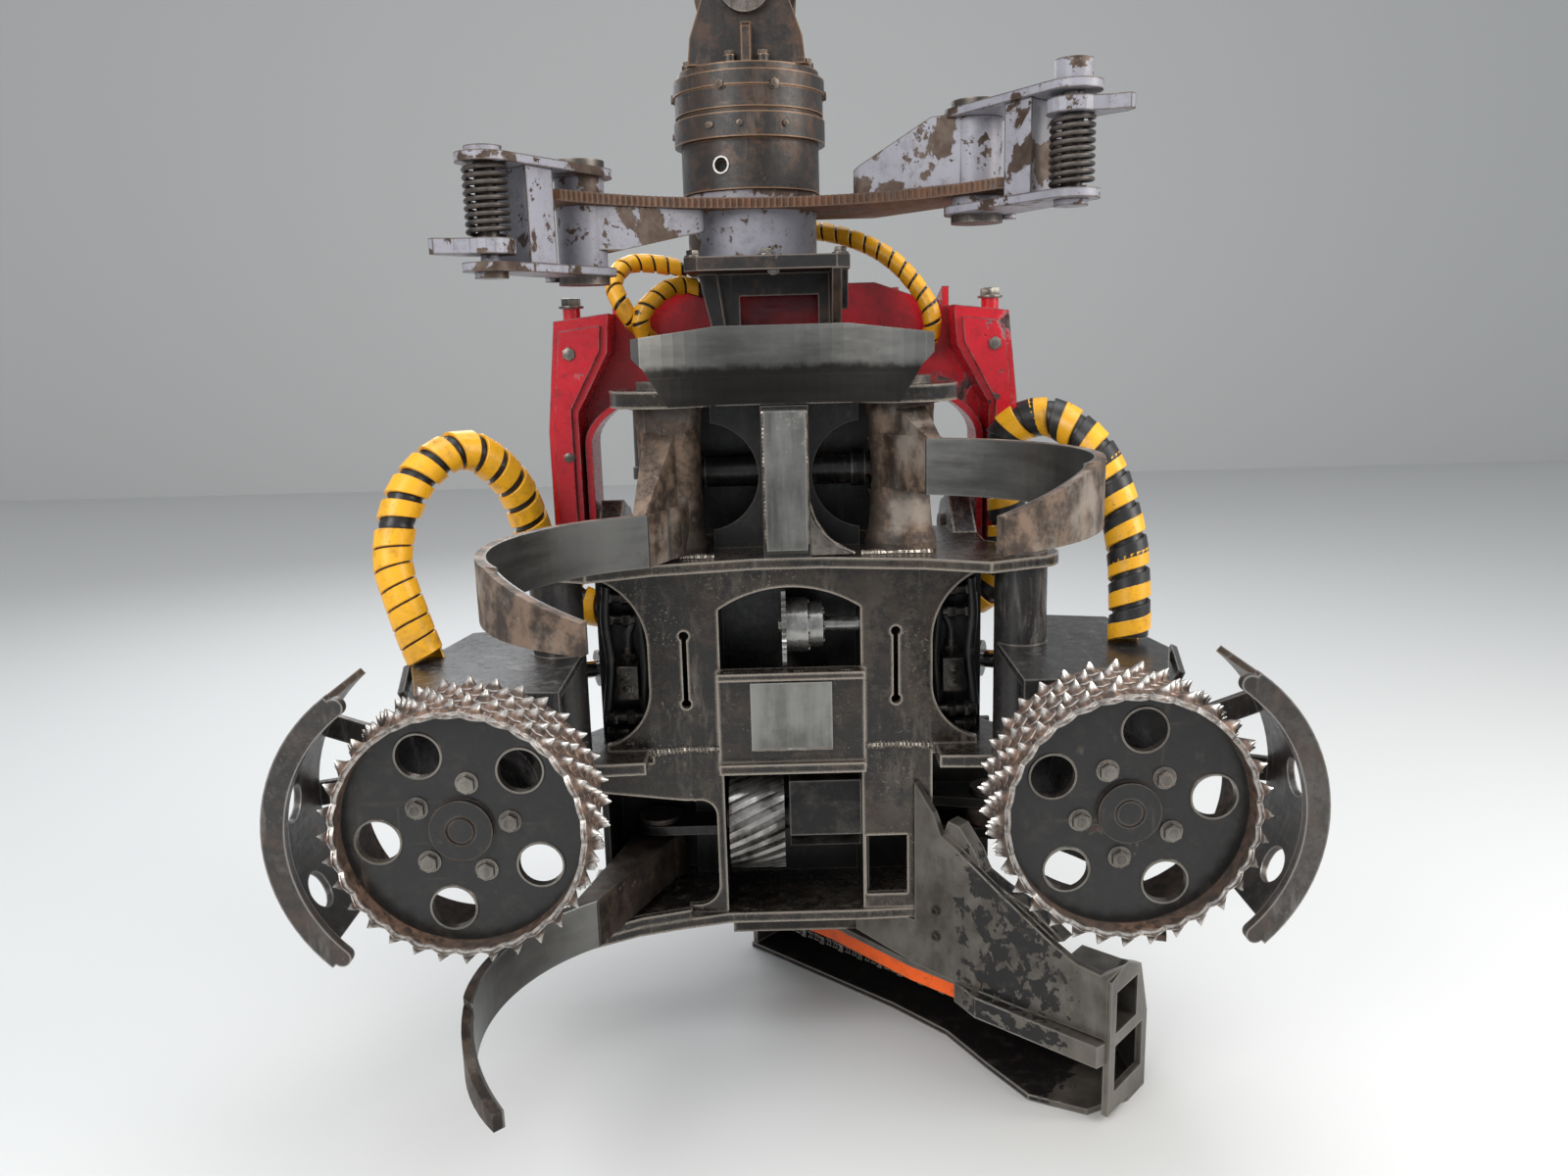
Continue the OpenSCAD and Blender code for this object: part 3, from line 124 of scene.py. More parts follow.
def minus(tree, a, b, clamp=False):
    return maths(tree, "SUBTRACT", a, b, clamp)


def most(tree, *values):
    top = values[0]
    for value in values[1:]:
        top = maths(tree, "MAXIMUM", top, value)
    return top


def step(tree, value, low, high):
    """Smooth step of value from low to high."""
    inputs = {"Value": value, "From Min": low, "From Max": high}
    return add_node(tree, "ShaderNodeMapRange", inputs, interpolation_type="SMOOTHSTEP").outputs["Result"]


def blend_colour(tree, mask, a, b):
    return add_node(tree, "ShaderNodeMix", {0: mask, 6: a, 7: b}, data_type="RGBA").outputs[2]


def blend_value(tree, mask, a, b):
    return add_node(tree, "ShaderNodeMix", {0: mask, 2: a, 3: b}, data_type="FLOAT").outputs[0]


def lay(tree, colour, *layers):
    """Lays more colours over one, each inside its mask and by its share."""
    for over, mask, share in layers:
        colour = blend_colour(tree, times(tree, mask, share), colour, over)
    return colour


def noise(tree, where, scale, detail=5.0, rough=0.55, distortion=0.0):
    inputs = {"Vector": where, "Scale": scale, "Detail": detail, "Roughness": rough, "Distortion": distortion}
    return add_node(tree, "ShaderNodeTexNoise", inputs).outputs["Fac"]


def stretched(tree, where, scale, turn=(0.0, 0.0, 0.0)):
    inputs = {"Vector": where, "Rotation": turn, "Scale": scale}
    return add_node(tree, "ShaderNodeMapping", inputs).outputs[0]


def new_group(name, inputs, outputs):
    """A shader node group of plain values on a vector, and its two ends."""
    tree = bpy.data.node_groups.new(name, "ShaderNodeTree")
    tree.interface.new_socket("Vector", in_out="INPUT", socket_type="NodeSocketVector")
    for label in inputs:
        tree.interface.new_socket(label, in_out="INPUT", socket_type="NodeSocketFloat")
    for label in outputs:
        tree.interface.new_socket(label, in_out="OUTPUT", socket_type="NodeSocketFloat")
    return tree, tree.nodes.new("NodeGroupInput").outputs, tree.nodes.new("NodeGroupOutput").inputs


# Worn edges: a rounded normal against the true one, broken up by noise
t, g_in, g_out = new_group("Edge wear", ["Radius", "Amount", "Breakup"], ["Mask"])
rounded = add_node(t, "ShaderNodeBevel", {"Radius": g_in["Radius"]}, samples=6).outputs[0]
true_normal = add_node(t, "ShaderNodeNewGeometry").outputs["Normal"]
alike = add_node(t, "ShaderNodeVectorMath", {0: rounded, 1: true_normal}, operation="DOT_PRODUCT")
bend = minus(t, 1.0, alike.outputs["Value"])
speck = noise(t, g_in["Vector"], g_in["Breakup"], 6.0, 0.65)
raised = plus(t, times(t, bend, 5.0), minus(t, speck, 0.5))
ragged = step(t, raised, minus(t, 0.55, g_in["Amount"]), minus(t, 0.8, g_in["Amount"]))
plug(t, times(t, step(t, bend, 0.003, 0.03), ragged), g_out["Mask"])

# Patches with a crisp or soft border, and the rim round them
t, g_in, g_out = new_group("Patches", ["Scale", "Cover", "Softness"], ["Mask", "Rim"])
field = noise(t, g_in["Vector"], g_in["Scale"], 8.0, 0.62, 0.25)
start = minus(t, 0.78, times(t, g_in["Cover"], 0.56))
inside = step(t, field, start, plus(t, start, g_in["Softness"]))
wider = step(t, field, minus(t, start, 0.012), plus(t, start, 0.002))
plug(t, inside, g_out["Mask"])
plug(t, minus(t, wider, inside, True), g_out["Rim"])

# Fine scratches in three directions
t, g_in, g_out = new_group("Scratches", ["Scale", "Density"], ["Mask"])
threads = []
for turn, squeeze in ((0.35, (1.0, 1.0, 0.05)), (1.15, (0.06, 1.0, 1.0)), (-0.5, (1.0, 0.07, 0.6))):
    run = stretched(t, g_in["Vector"], squeeze, (turn, turn * 0.4, turn))
    thread = noise(t, run, times(t, g_in["Scale"], 6.0), 2.0, 0.5)
    threads.append(step(t, thread, minus(t, 0.82, times(t, g_in["Density"], 0.2)), 0.84))
gate = step(t, noise(t, g_in["Vector"], g_in["Scale"], 3.0), 0.42, 0.6)
plug(t, times(t, most(t, *threads), gate), g_out["Mask"])

# Runs of dirt and oil down the surface
t, g_in, g_out = new_group("Runs", ["Scale", "Amount"], ["Mask"])
down = stretched(t, g_in["Vector"], (1.0, 1.0, 0.12))
flow = noise(t, down, g_in["Scale"], 6.0, 0.6, 0.2)
plug(t, step(t, flow, minus(t, 0.72, times(t, g_in["Amount"], 0.4)), 0.74), g_out["Mask"])

# Mottled wear: broad cloud and fine grain together
t, g_in, g_out = new_group("Mottle", ["Scale", "Level", "Width"], ["Mask", "Grain"])
broad = noise(t, g_in["Vector"], g_in["Scale"], 7.0, 0.6, 0.4)
grain = noise(t, g_in["Vector"], times(t, g_in["Scale"], 14.0), 6.0, 0.72)
mixed = plus(t, times(t, broad, 0.55), times(t, grain, 0.45))
low = minus(t, 1.0, g_in["Level"])
plug(t, step(t, mixed, low, plus(t, low, g_in["Width"])), g_out["Mask"])
plug(t, grain, g_out["Grain"])


def shade(colour, k):
    return tuple(min(1.0, k * c) for c in colour)


class Finish:
    """A material in the making: its tree, its shader and the object coordinates."""

    def __init__(self, name):
        self.material = bpy.data.materials.new(name)
        self.material.use_nodes = True
        self.tree = self.material.node_tree
        self.shader = self.tree.nodes["Principled BSDF"]
        self.where = self.tree.nodes.new("ShaderNodeTexCoord").outputs["Object"]
        self.axes = add_node(self.tree, "ShaderNodeSeparateXYZ", {0: self.where}).outputs

    def set(self, **values):
        for key, value in values.items():
            plug(self.tree, value, self.shader.inputs[key.replace("_", " ")])

    def use(self, group, **inputs):
        """Outputs of one of the groups above, on the object coordinates."""
        made = self.tree.nodes.new("ShaderNodeGroup")
        made.node_tree = bpy.data.node_groups[group]
        for key, value in {"Vector": self.where, **inputs}.items():
            plug(self.tree, value, made.inputs[key])
        return made.outputs

    def cloud(self, scale, detail, rough, low, high):
        """Noise with firm borders."""
        return step(self.tree, noise(self.tree, self.where, scale, detail, rough), low, high)

    def facing_up(self):
        """Mask of the faces that look up."""
        normal = add_node(self.tree, "ShaderNodeNewGeometry").outputs["Normal"]
        parts = add_node(self.tree, "ShaderNodeSeparateXYZ", {0: normal}).outputs
        return step(self.tree, parts[2], 0.5, 0.9)

    def reach(self, place, first=0, second=1):
        """Distance from a line through a place, across two of the axes."""
        t = self.tree
        a = minus(t, self.axes[first], place[0])
        b = minus(t, self.axes[second], place[1])
        return maths(t, "SQRT", plus(t, times(t, a, a), times(t, b, b)))

    def wavering(self, value, pattern, amount, clamp=False):
        """A value moved up and down by a pattern."""
        return plus(self.tree, value, times(self.tree, minus(self.tree, pattern, 0.5), amount), clamp)

    def done(self, colour, roughness, metallic, height, distance, strength=0.6):
        """Plugs in the shader, with a bump from a height, and gives the material."""
        inputs = {"Height": height, "Distance": distance, "Strength": strength}
        normal = add_node(self.tree, "ShaderNodeBump", inputs).outputs[0]
        self.set(Base_Color=colour, Roughness=roughness, Metallic=metallic, Normal=normal)
        return self.material


def worn_paint(
    name, paint, steel, rust, dirt, cover=0.2, scale=8.0, edge=0.4, gloss=0.42, dirt_amount=0.35,
    softness=0.02, radius=0.004, scratch=0.5, flat_rust=0.0, side_wear=None,
):
    """Paint over steel: chips, worn and rusty edges, scratches, dirt runs."""
    f = Finish(name)
    t = f.tree
    level = cover
    if flat_rust:
        level = plus(t, cover, times(t, f.facing_up(), flat_rust))
    if side_wear:
        first_x, last_x, amount = side_wear
        level = plus(t, level, times(t, step(t, f.axes[0], first_x, last_x), amount))
    chips, rim = f.use("Patches", Scale=scale, Cover=level, Softness=softness)
    small = f.use("Patches", Scale=5.0 * scale, Cover=minus(t, level, 0.08), Softness=softness)[0]
    edges = f.use("Edge wear", Radius=radius, Amount=edge, Breakup=45.0)[0]
    scratches = f.use("Scratches", Scale=9.0, Density=scratch)[0]
    runs = f.use("Runs", Scale=12.0, Amount=dirt_amount)[0]
    fine = noise(t, f.where, 90.0, 4.0)
    coat = blend_colour(t, f.cloud(3.0, 6.0, 0.55, 0.3, 0.7), shade(paint, 0.78), shade(paint, 1.18))
    coat = lay(t, coat, (dirt, f.cloud(38.0, 5.0, 0.7, 0.48, 0.75), 0.45))
    metal = blend_colour(t, f.cloud(32.0, 7.0, 0.68, 0.40, 0.62), steel, rust)
    bare = most(t, chips, small, edges, times(t, scratches, 0.8))
    colour = lay(
        t,
        blend_colour(t, bare, coat, metal),
        (shade(steel, 1.8), rim, 0.35),
        (dirt, runs, 0.65),
        (dirt, f.cloud(230.0, 2.0, 0.55, 0.64, 0.72), 0.4),
    )
    rough = f.wavering(blend_value(t, bare, gloss, 0.5), fine, 0.35, True)
    return f.done(colour, rough, times(t, bare, 0.5), minus(t, times(t, fine, 0.3), bare), 0.0008, 0.7)


def oily_steel(
    name, dark, worn, bright, rust, level=0.5, width=0.2, scale=5.0, edge=0.5, rough=0.36, metallic=0.55,
    radius=0.005, rust_amount=0.5, sawdust_and_glint_share=0.25,
):
    """Dark oily steel, rubbed brown-grey in clouds, with pale dots of sawdust and painted glint, and bright
    edges.
    """
    f = Finish(name)
    t = f.tree
    wear, grain = f.use("Mottle", Scale=scale, Level=level, Width=width)
    runs = f.use("Runs", Scale=10.0, Amount=0.45)[0]
    edges = f.use("Edge wear", Radius=radius, Amount=edge, Breakup=24.0)[0]
    scratches = f.use("Scratches", Scale=8.0, Density=0.55)[0]
    brown = step(t, noise(t, f.where, 17.0, 7.0, 0.7, 0.3), 0.46, 0.66)
    smear = noise(t, stretched(t, f.where, (1.0, 1.0, 0.22)), 34.0, 7.0, 0.68, 0.3)
    smear = times(t, step(t, smear, 0.50, 0.66), f.cloud(4.5, 5.0, 0.55, 0.42, 0.6))
    # Pale dots: partly sawdust, partly painted glints that stand in for fine highlights
    sawdust_and_glint = times(t, f.cloud(210.0, 3.0, 0.6, 0.61, 0.68), f.cloud(9.0, 5.0, 0.55, 0.48, 0.6))
    colour = lay(
        t,
        dark,
        (worn, wear, 0.9),
        (rust, brown, rust_amount),
        (dark, runs, 0.55),
        (dark, f.cloud(1.7, 3.0, 0.55, 0.42, 0.62), 0.55),
        (shade(worn, 1.35), smear, 0.75),
        (bright, sawdust_and_glint, sawdust_and_glint_share),
        (bright, scratches, 0.55),
        (bright, edges, 0.95),
    )
    shine = times(t, most(t, wear, edges), metallic)
    height = plus(t, grain, times(t, brown, 0.3))
    return f.done(colour, f.wavering(rough, grain, 0.5, True), shine, height, 0.0009, 0.55)


# Brushing without a direction
EVEN = (1.0, 1.0, 1.0)


def metal_layers(f, dark, light, rust, rust_cover, rough, edge, streak, radius, brushing=70.0):
    """Colour, roughness, rust mask and brushing of bare metal."""
    t = f.tree
    brush = noise(t, stretched(t, f.where, streak), brushing, 5.0, 0.6)
    tone = plus(t, times(t, brush, 0.35), times(t, noise(t, f.where, 6.0, 7.0, 0.6), 0.65))
    runs = f.use("Runs", Scale=16.0, Amount=0.30)[0]
    patches = f.use("Mottle", Scale=7.0, Level=0.32 + 0.4 * rust_cover, Width=0.12)[0]
    rusty = blend_colour(t, f.cloud(48.0, 6.0, 0.7, 0.38, 0.64), shade(rust, 0.45), rust)
    edges = f.use("Edge wear", Radius=radius, Amount=edge, Breakup=70.0)[0]
    scratches = f.use("Scratches", Scale=12.0, Density=0.6)[0]
    colour = lay(
        t,
        blend_colour(t, step(t, tone, 0.32, 0.66), dark, light),
        (shade(rust, 0.8), runs, 0.55),
        (rusty, patches, 0.85),
        (shade(light, 1.35), most(t, edges, scratches), 0.6),
    )
    roughness = f.wavering(blend_value(t, patches, rough, 0.66), brush, 0.3, True)
    return colour, roughness, patches, brush


def worn_metal(
    name, dark, light, rust, rust_cover=0.3, rough=0.36, edge=0.6, streak=(1.0, 1.0, 0.1), metallic=0.85,
    bumpy=0.0008, radius=0.005, brushing=70.0,
):
    """Bare metal: brushed tone, fine rust, bright edges."""
    f = Finish(name)
    t = f.tree
    colour, roughness, patches, brush = metal_layers(
        f, dark, light, rust, rust_cover, rough, edge, streak, radius, brushing
    )
    height = plus(t, times(t, brush, 0.3), patches)
    return f.done(colour, roughness, blend_value(t, patches, metallic, 0.25), height, bumpy)


def knife_finish(name, centre, inner, pivot=None, boss=0.0, cast_tone=1.0, dark_below=None):
    """Blade polished inside its curve, rusty outside and on its cast boss, oily under a height."""
    f = Finish(name)
    t = f.tree
    colour, roughness, _, brush = metal_layers(
        f, (0.098, 0.096, 0.090), (0.190, 0.188, 0.180), (0.120, 0.070, 0.045), rust_cover=0.20,
        rough=0.32, edge=0.6, streak=(0.16, 0.16, 1.0), radius=0.005, brushing=45.0,
    )
    outside = step(t, f.reach(centre), inner, inner + 0.003)
    blotch = noise(t, f.where, 26.0, 7.0, 0.7)
    tones = (0.045, 0.030, 0.022), (0.205, 0.140, 0.100), (0.330, 0.285, 0.245)
    low, high, pale = [shade(tone, cast_tone) for tone in tones]
    cast = blend_colour(t, step(t, blotch, 0.38, 0.62), low, high)
    cast = lay(t, cast, (pale, f.cloud(9.0, 6.0, 0.55, 0.52, 0.66), 0.75))
    if pivot:
        close = step(t, f.reach(pivot), boss + 0.012, boss)
        outside = most(t, outside, close)
        oil = times(t, close, f.cloud(7.0, 7.0, 0.65, 0.42, 0.6))
        cast = lay(t, cast, ((0.030, 0.024, 0.020), oil, 0.8))
    scratches = f.use("Scratches", Scale=14.0, Density=0.8)[0]
    cast = lay(t, cast, ((0.380, 0.350, 0.320), scratches, 0.6))
    colour = blend_colour(t, outside, colour, cast)
    if dark_below:
        under = step(t, f.wavering(f.axes[2], blotch, 0.03), dark_below + 0.012, dark_below - 0.004)
        colour = lay(t, colour, ((0.014, 0.012, 0.011), under, 0.92))
    rough = blend_value(t, outside, roughness, 0.58)
    height = blend_value(t, outside, times(t, brush, 0.25), blotch)
    return f.done(colour, rough, blend_value(t, outside, 0.85, 0.35), height, 0.0012)


def spiked_steel(name):
    """Rusty drum whose spikes shine towards their tips."""
    f = Finish(name)
    t = f.tree
    tip = add_node(t, "ShaderNodeAttribute", attribute_name="tip").outputs["Fac"]
    grain = noise(t, f.where, 70.0, 6.0, 0.65)
    edges = f.use("Edge wear", Radius=0.003, Amount=0.35, Breakup=80.0)[0]
    bright = most(t, step(t, f.wavering(tip, grain, 0.9), 0.28, 0.75), times(t, edges, 0.6))
    rust = blend_colour(t, step(t, grain, 0.36, 0.62), (0.050, 0.034, 0.027), (0.200, 0.118, 0.080))
    rust = lay(t, rust, ((0.070, 0.058, 0.050), f.cloud(8.0, 5.0, 0.55, 0.45, 0.6), 0.6))
    colour = blend_colour(t, bright, rust, (0.560, 0.530, 0.500))
    rough = blend_value(t, bright, 0.58, 0.26)
    return f.done(colour, rough, blend_value(t, bright, 0.3, 0.85), grain, 0.0014, 0.7)


def ribbed_steel(name, axle, low, high, valley=(0.030, 0.026, 0.024)):
    """Roller on an axle along X, at a depth and height: bright from one radius to the other."""
    f = Finish(name)
    t = f.tree
    grain = noise(t, f.where, 60.0, 6.0, 0.7)
    ridge = step(t, f.wavering(f.reach(axle, 1, 2), grain, 0.006), low, high)
    edges = f.use("Edge wear", Radius=0.003, Amount=0.5, Breakup=80.0)[0]
    bright = most(t, ridge, times(t, edges, 0.5))
    tone = f.cloud(22.0, 6.0, 0.55, 0.36, 0.6)
    worn = blend_colour(t, tone, (0.100, 0.092, 0.084), (0.420, 0.405, 0.385))
    colour = blend_colour(t, bright, valley, worn)
    return f.done(colour, blend_value(t, bright, 0.5, 0.26), times(t, bright, 0.85), grain, 0.0012)


def hub_and_block(name, low, high):
    """Bright hub over an oily bearing block, parted between two heights."""
    f = Finish(name)
    t = f.tree
    colour, roughness, _, brush = metal_layers(
        f, (0.170, 0.165, 0.155), (0.430, 0.425, 0.410), (0.130, 0.085, 0.060), rust_cover=0.2,
        rough=0.28, edge=0.6, streak=EVEN, radius=0.004,
    )
    edges = f.use("Edge wear", Radius=0.006, Amount=0.5, Breakup=60.0)[0]
    tone = f.cloud(20.0, 7.0, 0.7, 0.44, 0.66)
    oily = blend_colour(t, tone, (0.008, 0.007, 0.007), (0.050, 0.044, 0.038))
    oily = blend_colour(t, edges, oily, (0.220, 0.200, 0.180))
    over = step(t, f.axes[2], low, high)
    colour = blend_colour(t, over, oily, colour)
    rough = blend_value(t, over, 0.34, roughness)
    return f.done(colour, rough, blend_value(t, over, 0.3, 0.85), brush, 0.0008)


def saw_box_finish(name, remnant, pivot, floor, nose):
    """Bare rubbed steel, crisp black paint left near a place, and a black floor with a worn nose."""
    f = Finish(name)
    t = f.tree
    colour, roughness, _, brush = metal_layers(
        f, (0.070, 0.062, 0.053), (0.205, 0.187, 0.165), (0.110, 0.072, 0.048), rust_cover=0.12,
        rough=0.36, edge=0.8, streak=(1.0, 1.0, 0.6), radius=0.007, brushing=30.0,
    )
    near = step(t, f.reach(remnant), 0.17, 0.05)
    left = f.use("Patches", Scale=36.0, Cover=plus(t, 0.16, times(t, near, 0.42)), Softness=0.01)[0]
    along = f.wavering(f.reach(pivot), brush, 0.06)
    below = times(t, step(t, f.axes[2], floor + 0.003, floor - 0.004), step(t, along, nose, nose - 0.012))
    black = most(t, left, below)
    edges = f.use("Edge wear", Radius=0.006, Amount=0.6, Breakup=24.0)[0]
    paint = blend_colour(t, f.cloud(30.0, 6.0, 0.7, 0.5, 0.7), (0.011, 0.010, 0.010), (0.040, 0.036, 0.032))
    paint = lay(t, paint, ((0.340, 0.310, 0.275), edges, 0.9))
    colour = blend_colour(t, black, colour, paint)
    rough = blend_value(t, black, roughness, 0.34)
    height = plus(t, times(t, brush, 0.4), times(t, left, 0.5))
    return f.done(colour, rough, blend_value(t, black, 0.7, 0.1), height, 0.0009)


# On the frame the pale dots are partly sawdust, partly painted glints
frame_steel = oily_steel(
    "black frame steel", (0.009, 0.008, 0.007), (0.098, 0.082, 0.067), (0.400, 0.350, 0.295),
    (0.052, 0.033, 0.023), level=0.53, width=0.13, scale=3.4, edge=0.58, rough=0.25, radius=0.009, sawdust_and_glint_share=0.4,
)
inner_steel = oily_steel(
    "oily inner steel", (0.006, 0.006, 0.006), (0.030, 0.027, 0.025), (0.120, 0.105, 0.090),
    (0.020, 0.015, 0.012), level=0.44, scale=6.0, edge=0.3, metallic=0.3,
)
arm_steel = oily_steel(
    "feed arm steel", (0.016, 0.015, 0.015), (0.092, 0.086, 0.082), (0.300, 0.280, 0.260),
    (0.050, 0.038, 0.032), scale=3.0, rough=0.3, rust_amount=0.3,
)
guard_steel = oily_steel(
    "guard steel", (0.026, 0.023, 0.021), (0.130, 0.118, 0.110), (0.330, 0.310, 0.295),
    (0.090, 0.055, 0.038), level=0.55, rough=0.4,
)
rotator_steel = oily_steel(
    "rotator steel", (0.014, 0.011, 0.010), (0.070, 0.050, 0.038), (0.260, 0.150, 0.085),
    (0.120, 0.055, 0.028), width=0.18, scale=7.0, edge=0.55, rough=0.42, metallic=0.4, rust_amount=0.6,
)
bracket_steel = oily_steel(
    "bracket steel", (0.012, 0.011, 0.011), (0.095, 0.080, 0.070), (0.290, 0.240, 0.200),
    (0.110, 0.062, 0.040), level=0.47, width=0.18, edge=0.55, rough=0.42,
)
disc_paint = worn_paint(
    "black roller paint", (0.010, 0.010, 0.010), (0.130, 0.112, 0.098), (0.085, 0.056, 0.038),
    (0.045, 0.038, 0.032), cover=0.17, scale=13.0, gloss=0.32, dirt_amount=0.05, scratch=0.85,
)
grey_paint = worn_paint(
    "lavender grey paint", (0.300, 0.295, 0.335), (0.110, 0.080, 0.062), (0.070, 0.044, 0.032),
    (0.075, 0.060, 0.055), cover=0.40, edge=0.62, softness=0.012, flat_rust=0.42,
)
red_paint = worn_paint(
    "red paint", (0.520, 0.010, 0.022), (0.200, 0.160, 0.160), (0.060, 0.022, 0.022),
    (0.110, 0.010, 0.014), scale=6.0, gloss=0.27, side_wear=(0.36, 0.50, 0.16),
)
saw_steel = saw_box_finish("saw box steel", (0.430, -0.400), (0.05, 0.085), -2.163, 0.70)
orange_paint = worn_paint(
    "orange lining", (0.900, 0.110, 0.006), (0.300, 0.160, 0.080), (0.160, 0.050, 0.020),
    (0.240, 0.050, 0.010), cover=0.10, scale=14.0, edge=0.1, dirt_amount=0.2,
)
toothed_plate = worn_metal(
    "rusty toothed plate", (0.060, 0.042, 0.033), (0.200, 0.150, 0.120), (0.210, 0.085, 0.038),
    rust_cover=0.75, rough=0.5, metallic=0.45, streak=(0.3, 1.0, 1.0),
)
bright_steel = worn_metal(
    "scratched bright steel", (0.095, 0.095, 0.088), (0.300, 0.298, 0.280), (0.130, 0.075, 0.048),
    rust_cover=0.25, rough=0.3, streak=(1.0, 1.0, 0.12), brushing=45.0,
)
pin_steel = worn_metal(
    "pin steel", (0.050, 0.042, 0.037), (0.175, 0.155, 0.140), (0.110, 0.062, 0.040),
    rust_cover=0.45, rough=0.42,
)
spring_steel = worn_metal(
    "spring steel", (0.030, 0.026, 0.024), (0.130, 0.112, 0.100), (0.110, 0.055, 0.035),
    rust_cover=0.35, rough=0.38,
)
chain_steel = worn_metal(
    "chain steel", (0.035, 0.032, 0.030), (0.190, 0.175, 0.160), (0.070, 0.045, 0.032),
    rust_cover=0.2,
)
chrome = worn_metal(
    "chrome rod", (0.600, 0.600, 0.600), (0.750, 0.750, 0.745), (0.200, 0.120, 0.080),
    rust_cover=0.05, rough=0.12, edge=0.1, metallic=1.0, bumpy=0.0002,
)
bolt_steel = worn_metal(
    "bolt steel", (0.080, 0.072, 0.064), (0.260, 0.240, 0.215), (0.120, 0.075, 0.048),
    rust_cover=0.4, edge=0.8, radius=0.002,
)
weld_steel = worn_metal(
    "rubbed weld", (0.090, 0.075, 0.062), (0.330, 0.295, 0.255), (0.130, 0.080, 0.052),
    rough=0.34, streak=EVEN,
)
rubber = worn_paint(
    "black rubber", (0.012, 0.012, 0.013), (0.050, 0.048, 0.046), (0.040, 0.034, 0.030),
    (0.06, 0.05, 0.042), scale=20.0, edge=0.3, dirt_amount=0.3, softness=0.03, scratch=0.3,
)
yellow_band = worn_paint(
    "yellow guard band", (0.820, 0.400, 0.014), (0.340, 0.160, 0.026), (0.140, 0.070, 0.026),
    (0.130, 0.070, 0.020), cover=0.30, scale=11.0, edge=0.32, gloss=0.36, softness=0.14, radius=0.002,
    scratch=0.6,
)
spikes = spiked_steel("spiked drum steel")
helical_steel = ribbed_steel("helical roller steel", (-0.168, -1.740), 0.0865, 0.0935)
wheel_steel = ribbed_steel("measuring wheel steel", (-0.180, -1.358), 0.069, 0.0735, (0.060, 0.056, 0.052))
mount_steel = hub_and_block("encoder hub steel", -1.62, -1.58)
rusty_bolts = worn_metal(
    "rusty bolts", (0.040, 0.030, 0.024), (0.170, 0.140, 0.115), (0.140, 0.070, 0.038),
    rust_cover=0.5, rough=0.42, edge=0.7, streak=EVEN, radius=0.002,
)
inner_fittings = worn_metal(
    "dark fittings", (0.014, 0.013, 0.012), (0.090, 0.082, 0.074), (0.060, 0.038, 0.026),
    rough=0.32, edge=0.75, streak=EVEN, radius=0.003,
)
bright_port = worn_metal(
    "port steel", (0.180, 0.175, 0.165), (0.420, 0.410, 0.390), (0.130, 0.085, 0.060),
    rough=0.3, streak=EVEN, radius=0.002,
)
top_knife_steel = knife_finish("top knife steel", (0.05, -0.640), 0.4165, dark_below=-0.880)
knife_left = knife_finish("upper left knife steel", (-0.080, -0.640), 0.3035, (-0.160, -0.180), 0.112)
knife_right = knife_finish("upper right knife steel", (0.180, -0.640), 0.3035, (0.260, -0.180), 0.105)
low_left = knife_finish("lower left knife steel", (-0.120, -0.672), 0.3290, (-0.220, -0.090), 0.24, 0.35)
low_right = knife_finish("lower right knife steel", (0.290, -0.490), 0.3530, (0.450, -0.090), 0.12, 0.6)

SLOT_FINISH = {
    "rotator_steel": rotator_steel,
    "rotor_black": rotator_steel,
    "grey_paint": grey_paint,
    "rusty_steel": toothed_plate,
    "black_frame": frame_steel,
    "red_paint": red_paint,
    "pin_steel": pin_steel,
    "black_cylinder": arm_steel,
    "chrome_rod": chrome,
    "worn_steel": knife_left,
    "bright_steel": bright_steel,
    "saw_box_steel": saw_steel,
    "orange_lining": orange_paint,
    "black_arm": arm_steel,
    "guard_steel": guard_steel,
    "spike_steel": spikes,
    "roller_black": disc_paint,
    "bar_steel": chain_steel,
    "chain_steel": chain_steel,
    "spring_steel": spring_steel,
    "wrapped_hose": rubber,
}
OWN_FINISH = {
    "mount_bracket": bracket_steel,
    "channel_walls": inner_steel,
    "upper_walls": inner_steel,
    "valve_cover": inner_steel,
    "wheel_mounts": mount_steel,
    "helical_roller": helical_steel,
    "measuring_wheel": wheel_steel,
    "top_knife": top_knife_steel,
    "upper_knife_L": knife_left,
    "upper_knife_R": knife_right,
    "lower_knife_L": low_left,
    "lower_knife_R": low_right,
    "saw_motor": inner_steel,
}

for part in frame["record"]["subparts"]:
    node = nodes[part["node"]]
    node.data.materials.clear()
    node.data.materials.append(OWN_FINISH.get(part["node"], SLOT_FINISH[part["material_slot"]]))


# Shapes
def turned(direction):
    """Turns +Z to a direction."""
    return Vector(direction).to_track_quat("Z", "Y").to_matrix().to_4x4()


def round_edges(bm, edges, offset):
    bmesh.ops.bevel(
        bm, geom=list(edges), offset=offset, offset_type="OFFSET", segments=2, profile=0.5, affect="EDGES",
        material=-1,
    )


def lathe(bm, outline, steps, closed=False):
    """Turns an open or closed outline of (radius, height) places full round +Z."""
    verts = [bm.verts.new((r, 0.0, z)) for r, z in outline]
    ahead = verts[1:] + verts[:1] if closed else verts[1:]
    edges = [bm.edges.new(pair) for pair in zip(verts, ahead)]
    bmesh.ops.spin(
        bm, geom=edges + verts, cent=(0, 0, 0), axis=(0, 0, 1), dvec=(0, 0, 0), angle=2 * pi, steps=steps,
        use_merge=True, use_duplicate=False,
    )


def join(bm, local):
    """Moves one mesh in the making into another."""
    spare = bpy.data.meshes.new("spare")
    local.to_mesh(spare)
    local.free()
    bm.from_mesh(spare)
    bpy.data.meshes.remove(spare)


